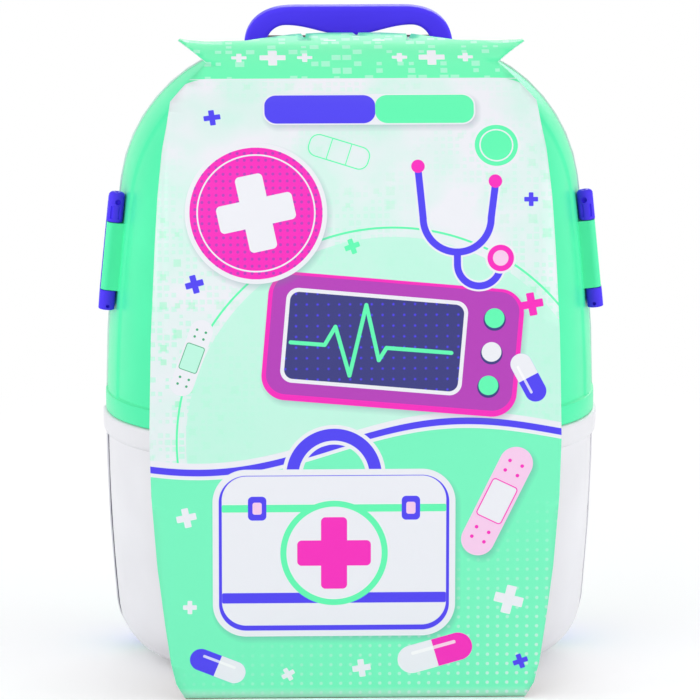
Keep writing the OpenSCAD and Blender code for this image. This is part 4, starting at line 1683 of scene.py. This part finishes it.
@dataclass(frozen=True)
class FrontPrint:
    """Generic medical play print on the wrap's front."""

    name: str
    header: float = 416.5

    def make(self) -> bpy.types.Material:
        """Builds the material.

        Returns:
            The material.
        """
        n = Nodes(self.name)
        sheet = n.add("UVMap", uv_map="Sheet").outputs[0]
        ink = Ink(n, sheet, Press.WHITE)
        place = ink.early
        self._ground(ink)
        self._pulse(ink)
        self._bag(ink)
        self._badges(ink)
        self._scatter(ink)
        self._header(ink)
        high = ink.along(0.0, 1.0, place)
        colour = n.blend(n.spread(high, 2.0, 7.0, 0.35, 0.0), ink.colour, Press.WHITE)
        gloss = n.noise(place, 0.5, 3.0)
        dents = n.noise(place, 0.03, 4.0)
        rough = n.spread(gloss, 0.3, 0.7, 0.32, 0.44)
        return n.surface(colour, rough, n.math("MULTIPLY_ADD", gloss, 0.05, dents), 0.0005, Coat_Weight=0.12)

    def _ground(self, ink: Ink) -> None:
        """Prints the pale field, its screens of squares and the mint field below.

        Args:
            ink: the print.
        """
        n, place = ink.n, ink.early
        high = ink.along(0.0, 1.0, place)
        cloud = n.spread(n.noise(place, 0.02, 2.0), 0.38, 0.62, 0.0, 0.55)
        ink.colour = n.blend(cloud, Press.WHITE, Press.PALE)
        fade = n.math("MULTIPLY", n.spread(n.noise(place, 0.012, 1.0), 0.40, 0.58, 0.0, 0.9),
                      n.spread(high, 180.0, 360.0, 1.0, 0.35))
        ink.squares(4.6, 0.8, Press.PALE, fade, 0.35)
        ink.squares(9.2, 0.62, Press.MINT, n.math("MULTIPLY", fade, 0.6), 0.75)
        ink.disc(24.0, 172.0, 134.0, Press.PALE, 0.85)
        ink.ring(24.0, 172.0, 140.0, 1.4, Press.MINT)
        ink.wave(176.0, 12.0, 300.0, 0.05, Press.WHITE, 0.06)
        ink.wave(172.0, 12.0, 300.0, 0.05, Press.VIOLET, 0.06)
        ink.wave(167.5, 12.0, 300.0, 0.05, Press.WHITE, 0.06)
        ink.wave(165.0, 12.0, 300.0, 0.05, Press.LEAF, 0.06)
        ink.dots(6.4, 0.34, Press.WHITE, n.spread(ink.along(0.45, -0.9), -70.0, 60.0, 0.0, 0.8))

    def _pulse(self, ink: Ink) -> None:
        """Prints a toy monitor with its trace.

        Args:
            ink: the print.
        """
        ink.shade_bar(24.0, 236.0, 166.0, 84.0, -5.0, 16.0)
        ink.bar(24.0, 236.0, 166.0, 84.0, Press.MAGENTA, -5.0, 16.0)
        ink.bar(24.0, 237.0, 160.0, 78.0, Press.PLUM, -5.0, 13.0)
        ink.bar(12.0, 238.0, 118.0, 62.0, Press.WHITE, -5.0, 8.0)
        ink.bar(12.0, 238.0, 113.0, 57.0, Press.NIGHT, -5.0, 6.0)
        inside = ink.inside_bar(12.0, 238.0, 113.0, 57.0, -5.0, 6.0)
        ink.dots(7.0, 0.2, Press.VIOLET, inside)
        trace = [(-42.0, 238.0), (-20.0, 236.2), (-13.0, 248.0), (-4.0, 216.0), (7.0, 262.0), (15.0, 226.0),
                 (20.0, 234.0), (62.0, 230.5)]
        ink.line(trace, 2.6, Press.MINT)
        for y, tone in ((258.0, Press.MINT), (236.0, Press.WHITE), (214.0, Press.MINT)):
            ink.disc(88.0 + (y - 236.0) * 0.09, y - 6.0, 7.2, Press.NIGHT)
            ink.disc(88.0 + (y - 236.0) * 0.09, y - 5.0, 6.4, tone)

    def _bag(self, ink: Ink) -> None:
        """Prints a doctor's bag.

        Args:
            ink: the print.
        """
        ink.bow(-14.0, 150.0, 27.0, 13.0, Press.WHITE, 90.0)
        ink.bow(-14.0, 150.0, 27.0, 8.0, Press.VIOLET, 90.0)
        ink.shade_bar(-14.0, 98.0, 158.0, 112.0, 0.0, 22.0)
        ink.bar(-14.0, 98.0, 158.0, 112.0, Press.WHITE, 0.0, 22.0)
        ink.bar(-14.0, 98.0, 150.0, 104.0, Press.VIOLET, 0.0, 18.0)
        ink.bar(-14.0, 99.5, 146.0, 100.0, Press.WHITE, 0.0, 16.0)
        ink.bar(-14.0, 128.0, 146.0, 5.0, Press.MINT, 0.0, 1.0)
        ink.bar(-14.0, 68.0, 146.0, 7.0, Press.VIOLET, 0.0, 1.0)
        for side in (-1.0, 1.0):
            ink.bar(-14.0 + side * 50.0, 128.0, 12.0, 16.0, Press.VIOLET, 0.0, 3.0)
            ink.bar(-14.0 + side * 50.0, 128.0, 6.0, 8.0, Press.PINK, 0.0, 1.5)
        ink.disc(-14.0, 98.0, 35.0, Press.MINT)
        ink.disc(-14.0, 98.0, 31.0, Press.WHITE)
        ink.cross(-14.0, 98.0, 48.0, 17.0, Press.MAGENTA, 0.0, 3.0)

    def _badges(self, ink: Ink) -> None:
        """Prints the round badges and the bare banner.

        Args:
            ink: the print.
        """
        ink.shade_disc(-64.0, 322.0, 46.0)
        ink.disc(-64.0, 322.0, 46.0, Press.WHITE)
        ink.disc(-64.0, 322.0, 43.0, Press.MAGENTA)
        ink.dots(4.6, 0.42, Press.PLUM, ink.inside_disc(-64.0, 322.0, 43.0))
        ink.ring(-64.0, 322.0, 38.0, 1.0, Press.WHITE)
        ink.cross(-64.0, 322.0, 50.0, 18.0, Press.WHITE, 12.0, 3.0)
        ink.shade_bar(10.0, 392.0, 138.0, 23.0, 0.0, 9.0)
        ink.bar(10.0, 392.0, 138.0, 23.0, Press.WHITE, 0.0, 9.0)
        ink.bar(-22.0, 392.0, 72.0, 21.0, Press.VIOLET, 0.0, 8.0)
        ink.bar(46.0, 392.0, 64.0, 21.0, Press.MINT, 0.0, 8.0)
        ink.disc(92.0, 366.0, 15.5, Press.WHITE)
        ink.disc(92.0, 366.0, 14.0, Press.MINT)
        ink.ring(92.0, 366.0, 10.6, 0.9, Press.WHITE)

    def _scatter(self, ink: Ink) -> None:
        """Prints the instruments and the small motifs.

        Args:
            ink: the print.
        """
        for line, tone in ((7.0, Press.WHITE), (4.6, Press.VIOLET)):
            ink.bow(66.0, 318.0, 22.0, line, tone, -90.0)
            ink.line([(44.0, 318.0), (41.0, 350.0)], line, tone)
            ink.line([(88.0, 318.0), (91.0, 340.0)], line, tone)
            ink.line([(66.0, 296.0), (66.0, 288.0)], line, tone)
            ink.bow(80.0, 288.0, 14.0, line, tone, -90.0)
        ink.disc(94.0, 292.0, 10.0, Press.WHITE)
        ink.disc(94.0, 292.0, 8.6, Press.MAGENTA)
        ink.disc(94.0, 292.0, 5.0, Press.PINK)
        for x, y in ((41.0, 352.0), (91.0, 342.0)):
            ink.disc(x, y, 4.4, Press.MAGENTA)
        ink.shade_bar(92.0, 132.0, 78.0, 22.0, 64.0, 10.0)
        ink.plaster(92.0, 132.0, 78.0, 22.0, 64.0, Press.PINK, Press.WHITE, Press.MAGENTA)
        ink.plaster(-106.0, 228.0, 52.0, 15.0, 70.0, Press.WHITE, Press.PALE, Press.GREEN)
        ink.frame(-10.0, 362.0, 40.0, 15.0, 0.8, Press.MINT, -18.0, 6.0)
        ink.frame(-10.0, 362.0, 13.0, 15.0, 0.7, Press.MINT, -18.0, 1.0)
        ink.capsule(112.0, 214.0, 34.0, 14.0, 118.0, Press.VIOLET, Press.WHITE)
        ink.capsule(52.0, 30.0, 50.0, 19.0, 16.0, Press.WHITE, Press.MAGENTA)
        ink.capsule(-90.0, 22.0, 38.0, 15.0, -22.0, Press.VIOLET, Press.WHITE)
        for x, y, size, tone, angle in (
                (114.0, 262.0, 15.0, Press.MAGENTA, 10.0), (-104.0, 276.0, 12.0, Press.VIOLET, 15.0),
                (-2.0, 300.0, 10.0, Press.MINT, 20.0), (-92.0, 386.0, 11.0, Press.VIOLET, 8.0),
                (114.0, 330.0, 9.0, Press.VIOLET, 0.0), (-110.0, 122.0, 13.0, Press.WHITE, 12.0),
                (-108.0, 62.0, 9.0, Press.WHITE, 0.0), (100.0, 66.0, 19.0, Press.WHITE, -14.0),
                (4.0, 20.0, 12.0, Press.WHITE, 8.0), (108.0, 24.0, 10.0, Press.VIOLET, 20.0),
                (-44.0, 16.0, 9.0, Press.WHITE, 30.0)):
            ink.cross(x, y, size, size * 0.34, tone, angle, 0.6)

    def _header(self, ink: Ink) -> None:
        """Prints the band over the crown, with the field's rounded corners and the crease's pale nicks.

        Args:
            ink: the print.
        """
        n = ink.n
        panel = ink.bar_distance(0.0, self.header - 300.0, 252.0, 600.0, 0.0, 34.0)
        band = n.spread(ink.along(0.0, 1.0), self.header - 46.0, self.header - 44.0, 0.0, 1.0)
        outside = n.math("MULTIPLY", n.spread(panel, -0.2, 0.2, 0.0, 1.0), band)
        ink.colour = n.blend(outside, ink.colour, Press.MINT)
        ink.squares(7.0, 0.85, Press.PALE, n.math("MULTIPLY", outside, 0.6), 0.72)
        ink.bar(0.0, self.header - 0.6, 400.0, 0.8, Press.WHITE, 0.0, 0.0, 0.8)
        for x, size in ((-74.0, 10.0), (-52.0, 17.0), (-31.0, 10.0), (31.0, 10.0), (52.0, 17.0),
                        (74.0, 10.0)):
            ink.cross(x, self.header + 21.0, size, size * 0.34, Press.WHITE, 0.0, 0.6)
        for x in (-14.0, 18.0):
            ink.bar(x, self.header + 47.0, 8.0, 2.2, Press.WHITE, 0.0, 0.4)


@dataclass(frozen=True)
class BackPrint:
    """Plain print on the wrap's back."""

    name: str

    def make(self) -> bpy.types.Material:
        """Builds the material.

        Returns:
            The material.
        """
        n = Nodes(self.name)
        parts = n.add("SeparateXYZ")
        n.join(n.object_place(), parts.inputs[0])
        flat = n.add("CombineXYZ")
        n.join(parts.outputs[0], flat.inputs[0])
        n.join(parts.outputs[2], flat.inputs[1])
        sheet = n.vector("MULTIPLY", flat.outputs[0], (-1.0, 1.0, 0.0))
        white, mint, violet = Press.WHITE, Press.MINT, Press.VIOLET
        magenta, pale = Press.MAGENTA, Press.PALE
        ink = Ink(n, sheet, mint)
        place = ink.early
        ink.bar(0.0, 205.0, 196.0, 340.0, white, 0.0, 16.0)
        ink.squares(8.0, 0.8, pale, ink.inside_bar(0.0, 205.0, 186.0, 330.0, 0.0, 14.0), 0.55)
        ink.wave(70.0, 7.0, 120.0, 0.2, violet)
        ink.wave(64.0, 7.0, 120.0, 0.2, mint)
        ink.cross(0.0, 250.0, 96.0, 33.0, magenta, 0.0, 5.0, 3.0)
        ink.cross(0.0, 250.0, 88.0, 27.0, white, 0.0, 4.0)
        ink.plaster(-46.0, 130.0, 74.0, 21.0, 28.0, white, pale, mint)
        ink.capsule(48.0, 128.0, 52.0, 20.0, -30.0, magenta, violet)
        for x, y, size in ((-66.0, 320.0, 14.0), (64.0, 332.0, 18.0), (-60.0, 182.0, 12.0),
                           (70.0, 182.0, 12.0)):
            ink.cross(x, y, size, size * 0.34, mint, 0.0, 0.6)
        fibres = n.noise(place, 0.4, 3.0)
        return n.surface(ink.colour, n.spread(fibres, 0.3, 0.7, 0.32, 0.44), fibres, 0.0001, Coat_Weight=0.1)


class Motif(Enum):
    """Designs of the small stickers."""

    TUB = "tub"
    SCREEN = "screen"
    FILMS = "films"
    DOTS = "dots"
    BOARD = "board"
    LATCH = "latch"


@dataclass(frozen=True)
class Sticker:
    """Generic print on a small flat panel, read from its place on the case."""

    name: str
    motif: Motif
    ground: Press
    middle: tuple[float, float, float]
    axes: tuple[int, int] = (0, 2)
    turn: float = 0.0

    def make(self) -> bpy.types.Material:
        """Builds the material.

        Returns:
            The material.
        """
        n = Nodes(self.name)
        parts = n.add("SeparateXYZ")
        n.join(n.vector("SUBTRACT", n.object_place(), tuple(c * MM for c in self.middle)), parts.inputs[0])
        flat = n.add("CombineXYZ")
        for i, axis in enumerate(self.axes):
            n.join(parts.outputs[axis], flat.inputs[i])
        turned = n.add("VectorRotate", rotation_type="Z_AXIS")
        n.join(flat.outputs[0], turned.inputs[0])
        turned.inputs["Angle"].default_value = -math.radians(self.turn)
        ink = Ink(n, turned.outputs[0], self.ground)
        {Motif.TUB: self._tub, Motif.SCREEN: self._screen, Motif.FILMS: self._films, Motif.DOTS: self._dots,
         Motif.BOARD: self._board, Motif.LATCH: self._latch}[self.motif](ink)
        grain = n.noise(ink.early, 0.5, 3.0)
        return n.surface(ink.colour, n.spread(grain, 0.3, 0.7, 0.28, 0.40), grain, 0.00004, Coat_Weight=0.1)

    def _tub(self, ink: Ink) -> None:
        """Prints waves, a cross badge and a bare banner."""
        ink.dots(5.2, 0.32, Press.PALE, ink.inside_bar(0.0, 0.0, 138.0, 80.0, 0.0, 20.0))
        for level, tone in ((-12.0, Press.WHITE), (-15.0, Press.VIOLET), (-27.0, Press.WHITE),
                            (-29.0, Press.PALE)):
            ink.wave(level, 5.0, 92.0, 0.2, tone)
        ink.disc(-44.0, 8.0, 21.0, Press.WHITE)
        ink.disc(-44.0, 8.0, 18.5, Press.MAGENTA)
        ink.cross(-44.0, 8.0, 24.0, 8.5, Press.WHITE, 0.0, 2.0)
        ink.bar(22.0, 14.0, 80.0, 19.0, Press.WHITE, 0.0, 9.0)
        ink.bar(22.0, 14.0, 76.0, 15.0, Press.VIOLET, 0.0, 7.0)
        ink.frame(0.0, 0.0, 145.0, 87.0, 1.4, Press.WHITE, 0.0, 21.5)

    def _screen(self, ink: Ink) -> None:
        """Prints a trace on a dotted screen."""
        ink.dots(4.0, 0.22, Press.VIOLET, ink.inside_bar(0.0, 0.0, 80.0, 42.0, 0.0, 4.0))
        ink.line([(-38.0, 0.0), (-22.0, 0.0), (-16.0, 8.0), (-8.0, -14.0), (0.0, 16.0), (7.0, -6.0),
                  (11.0, 0.0), (38.0, 0.0)], 1.8, Press.MINT)
        ink.frame(0.0, 0.0, 81.0, 43.0, 1.2, Press.PINK, 0.0, 5.0)
        ink.cross(30.0, 12.0, 8.0, 2.8, Press.MAGENTA, 0.0, 0.5)

    def _films(self, ink: Ink) -> None:
        """Prints a pair of simple bone pictures."""
        ink.dots(3.6, 0.3, Press.WHITE, ink.inside_bar(0.0, 0.0, 90.0, 146.0, 0.0, 4.0))
        ink.bar(0.0, 33.0, 4.6, 46.0, Press.WHITE, 0.0, 2.0)
        for y, r in ((44.0, 15.0), (35.0, 18.0), (26.0, 18.0), (17.0, 15.0)):
            ink.bow(0.0, y + 5.0, r, 2.6, Press.WHITE, -90.0)
        for turn in (34.0, -34.0):
            ink.bar(0.0, -33.0, 46.0, 5.6, Press.WHITE, turn, 2.0)
            c, s = math.cos(math.radians(turn)), math.sin(math.radians(turn))
            for end in (-23.0, 23.0):
                for off in (-3.4, 3.4):
                    ink.disc(end * c - off * s, -33.0 + end * s + off * c, 4.2, Press.WHITE)

    def _dots(self, ink: Ink) -> None:
        """Prints a dotted field in a frame."""
        ink.dots(6.0, 0.3, Press.PINK, ink.inside_bar(0.0, 0.0, 112.0, 118.0, 0.0, 6.0))
        ink.frame(0.0, 0.0, 116.0, 122.0, 1.2, Press.WHITE, 0.0, 7.0)

    def _board(self, ink: Ink) -> None:
        """Prints the board's disc."""
        ink.disc(0.0, 0.0, 25.0, Press.WHITE)
        ink.disc(0.0, 0.0, 22.0, Press.MINT)
        ink.cross(0.0, 0.0, 26.0, 9.0, Press.WHITE, 0.0, 2.0)
        ink.cross(0.0, 0.0, 22.0, 6.0, Press.MAGENTA, 0.0, 1.2)

    def _latch(self, ink: Ink) -> None:
        """Prints a frame, a cross and dots on a latch's facing."""
        ink.dots(4.4, 0.3, Press.PALE, ink.inside_bar(0.0, -2.0, 24.0, 56.0, 0.0, 5.0))
        ink.cross(0.0, 8.0, 15.0, 5.2, Press.VIOLET, 0.0, 1.2)
        ink.cross(0.0, -14.0, 10.0, 3.4, Press.MAGENTA, 0.0, 0.8)


# ---------------------------------------------------------------- studio


@dataclass(frozen=True)
class Lamp:
    """Square soft lamp that faces the case, in metres and watts."""

    name: str
    place: tuple[float, float, float]
    size: float
    power: float

    def hang(self) -> None:
        """Adds the lamp to the scene."""
        light = bpy.data.lights.new(self.name, "AREA")
        light.size = self.size
        light.energy = self.power
        lamp = bpy.data.objects.new(self.name, light)
        lamp.location = self.place
        lamp.rotation_euler = (Vector((0.0, 0.0, 0.2)) - Vector(self.place)).to_track_quat("-Z", "Y").to_euler()
        bpy.context.scene.collection.objects.link(lamp)


@dataclass
class Studio:
    """Pale floor, soft light and the camera."""

    distance: float = 4.0
    azimuth: float = -1.7
    elevation: float = 11.0
    width: float = 0.4624
    aim: tuple[float, float, float] = (-0.0012, -0.02, 0.2181)
    world: float = 0.59
    lamps: tuple[Lamp, ...] = (
        Lamp("Key", (-0.9, -1.9, 1.2), 1.1, 9.0), Lamp("Fill", (1.4, -1.6, 0.8), 1.4, 6.0),
        Lamp("Left", (-2.0, -0.5, 0.6), 1.0, 9.5), Lamp("Right", (2.0, -0.5, 0.6), 1.0, 9.5),
        Lamp("Top", (0.1, 0.3, 2.0), 1.3, 4.0), Lamp("Rear", (0.4, 1.9, 1.1), 1.2, 8.0))
    clear_from: float = 0.42
    clear_to: float = 0.95

    def build(self) -> None:
        """Sets up the floor, lights, world and camera."""
        self._floor()
        self._world()
        for lamp in self.lamps:
            lamp.hang()
        self._camera()
        bpy.context.scene.view_settings.view_transform = "Standard"

    def _floor(self) -> None:
        """Lays the floor, which shows the case's shadow near by and plain white further off."""
        bm = bmesh.new()
        bmesh.ops.create_grid(bm, x_segments=1, y_segments=1, size=20.0)
        mesh = bpy.data.meshes.new("floor")
        bm.to_mesh(mesh)
        bm.free()
        floor = bpy.data.objects.new("floor", mesh)
        bpy.context.scene.collection.objects.link(floor)
        n = Nodes("floor_paint")
        lit = n.add("BsdfDiffuse")
        lit.inputs["Color"].default_value = (0.90, 0.90, 0.91, 1.0)
        glow = n.add("Emission")
        glow.inputs["Strength"].default_value = 0.18
        both = n.add("AddShader")
        n.join(lit.outputs[0], both.inputs[0])
        n.join(glow.outputs[0], both.inputs[1])
        plain = n.add("Emission")
        away = n.vector("LENGTH", n.object_place())
        seen = n.add("MixShader")
        n.join(n.spread(away, self.clear_from, self.clear_to, 0.0, 1.0), seen.inputs[0])
        n.join(both.outputs[0], seen.inputs[1])
        n.join(plain.outputs[0], seen.inputs[2])
        shown = n.add("MixShader")
        n.join(self._seen_rays(n), shown.inputs[0])
        n.join(lit.outputs[0], shown.inputs[1])
        n.join(seen.outputs[0], shown.inputs[2])
        n.join(shown.outputs[0], n.add("OutputMaterial").inputs[0])
        mesh.materials.append(n.material)

    def _seen_rays(self, n: Nodes) -> bpy.types.NodeSocket:
        """Tells whether a ray is one that shows the background.

        Args:
            n: nodes of the floor's or the world's tree.

        Returns:
            A socket that is 1 for rays from the camera, in a gloss or through a clear part.
        """
        path = n.add("LightPath")
        gloss = n.math("MAXIMUM", path.outputs["Is Glossy Ray"], path.outputs["Is Transmission Ray"])
        return n.math("MAXIMUM", path.outputs["Is Camera Ray"], gloss)

    def _world(self) -> None:
        """Surrounds the scene with even pale light."""
        world = bpy.data.worlds.new("studio")
        bpy.context.scene.world = world
        world.use_nodes = True
        n = Nodes("studio_nodes")
        bpy.data.materials.remove(n.material)
        n.tree = world.node_tree
        n.tree.nodes.clear()
        glow = n.add("Background")
        glow.inputs["Color"].default_value = (1.0, 1.0, 1.0, 1.0)
        n.join(n.spread(self._seen_rays(n), 0.0, 1.0, self.world, 1.0), glow.inputs["Strength"])
        n.join(glow.outputs[0], n.add("OutputWorld").inputs[0])

    def _camera(self) -> None:
        """Places the camera where the photograph was taken from."""
        a, e = math.radians(self.azimuth), math.radians(self.elevation)
        back = Vector((math.sin(a) * math.cos(e), -math.cos(a) * math.cos(e), math.sin(e)))
        data = bpy.data.cameras.new("camera")
        data.sensor_width = 36.0
        data.lens = 36.0 * self.distance / self.width
        camera = bpy.data.objects.new("camera", data)
        camera.location = Vector(self.aim) + back * self.distance
        camera.rotation_euler = (-back).to_track_quat("-Z", "Y").to_euler()
        bpy.context.scene.collection.objects.link(camera)
        bpy.context.scene.camera = camera


# ---------------------------------------------------------------- the whole case


def make_finishes() -> dict[str, bpy.types.Material]:
    """Makes every finish once.

    Returns:
        The materials by name.
    """
    plastics = [MouldedPlastic("white_plastic", Tone.WHITE, 0.34),
                MouldedPlastic("mint_plastic", Tone.MINT, 0.32, index=1.32),
                MouldedPlastic("violet_plastic", Tone.VIOLET, 0.34, index=1.14),
                # Painted shade: dark matt finish of the ring that stands for the shadow in the seam between tub
                # and back shell.
                MouldedPlastic("seam_shade_dark", Tone.SEAM_SHADE, 0.6, index=1.3),
                MouldedPlastic("magenta_plastic", Tone.MAGENTA, 0.36, ripple=0.00002, index=1.3),
                MouldedPlastic("lavender_plastic", Tone.LAVENDER, 0.5, 0.00005, 0.3),
                MouldedPlastic("rod_plastic", Tone.WHITE, 0.22, coat=0.3)]
    others = [PlatedSteel("plated_steel"), RawCard("raw_card"), FrontPrint("printed_front"),
              BackPrint("printed_back")]
    made = {p.name: p.make() for p in [*plastics, *others]}
    made["cut_edge"] = RawCard("cut_edge", Tone.MINT_PALE).make()
    stickers = [Sticker("printed_tub", Motif.TUB, Press.MINT, (0.0, 0.0, 98.0)),
                Sticker("printed_screen", Motif.SCREEN, Press.NIGHT, (-77.9, 6.9, 0.0), (0, 1), 8.0),
                Sticker("printed_films", Motif.FILMS, Press.MINT, (80.0, 0.0, 260.0)),
                Sticker("printed_dots", Motif.DOTS, Press.MAGENTA, (-50.0, 0.0, 259.0)),
                Sticker("printed_board", Motif.BOARD, Press.MINT, (-8.0, 0.0, 331.0)),
                Sticker("printed_latch", Motif.LATCH, Press.MINT, (0.0, 23.5, 283.0), (1, 2))]
    made.update({sticker.name: sticker.make() for sticker in stickers})
    return made


PLAIN = {
    "white_plastic": ["pull_guide_left", "pull_guide_right", "basket", "thermometer", "scissor_rivet"],
    "mint_plastic": ["pull_grip", "wheel_housing_left", "wheel_housing_right", "tray"],
    "printed_films": ["light_box_films"],
    "printed_screen": ["monitor_screen"],
    "printed_board": ["back_board"],
    "printed_dots": ["board_panel"],
    "violet_plastic": ["wheel_hub_left", "wheel_hub_right", "front_feet", "syringe_barrel",
                       "scissor_blade_left", "scissor_blade_right", "forceps"],
    "magenta_plastic": ["light_box", "monitor", "syringe_plunger", "hammer"],
    "rod_plastic": ["pull_rod_left", "pull_rod_right"],
    "plated_steel": ["hinge_pin_left", "hinge_pin_right", "latch_pin_left", "latch_pin_right", "axle",
                     "case_screws"],
}


def main() -> None:
    """Builds the case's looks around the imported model."""
    logging.basicConfig(level=logging.INFO, format="%(name)s: %(message)s")
    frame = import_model()
    shop = Workshop(frame, make_finishes())
    for finish, nodes in PLAIN.items():
        for node in nodes:
            shop.recast(node, finish)
    shells = Shells(shop)
    shells.build()
    Latches(shells).build()
    Wheels(shop).build()
    CarryHandle(shop).build()
    CardWrap(shop).build()
    Studio().build()


if __name__ == "__main__":
    main()
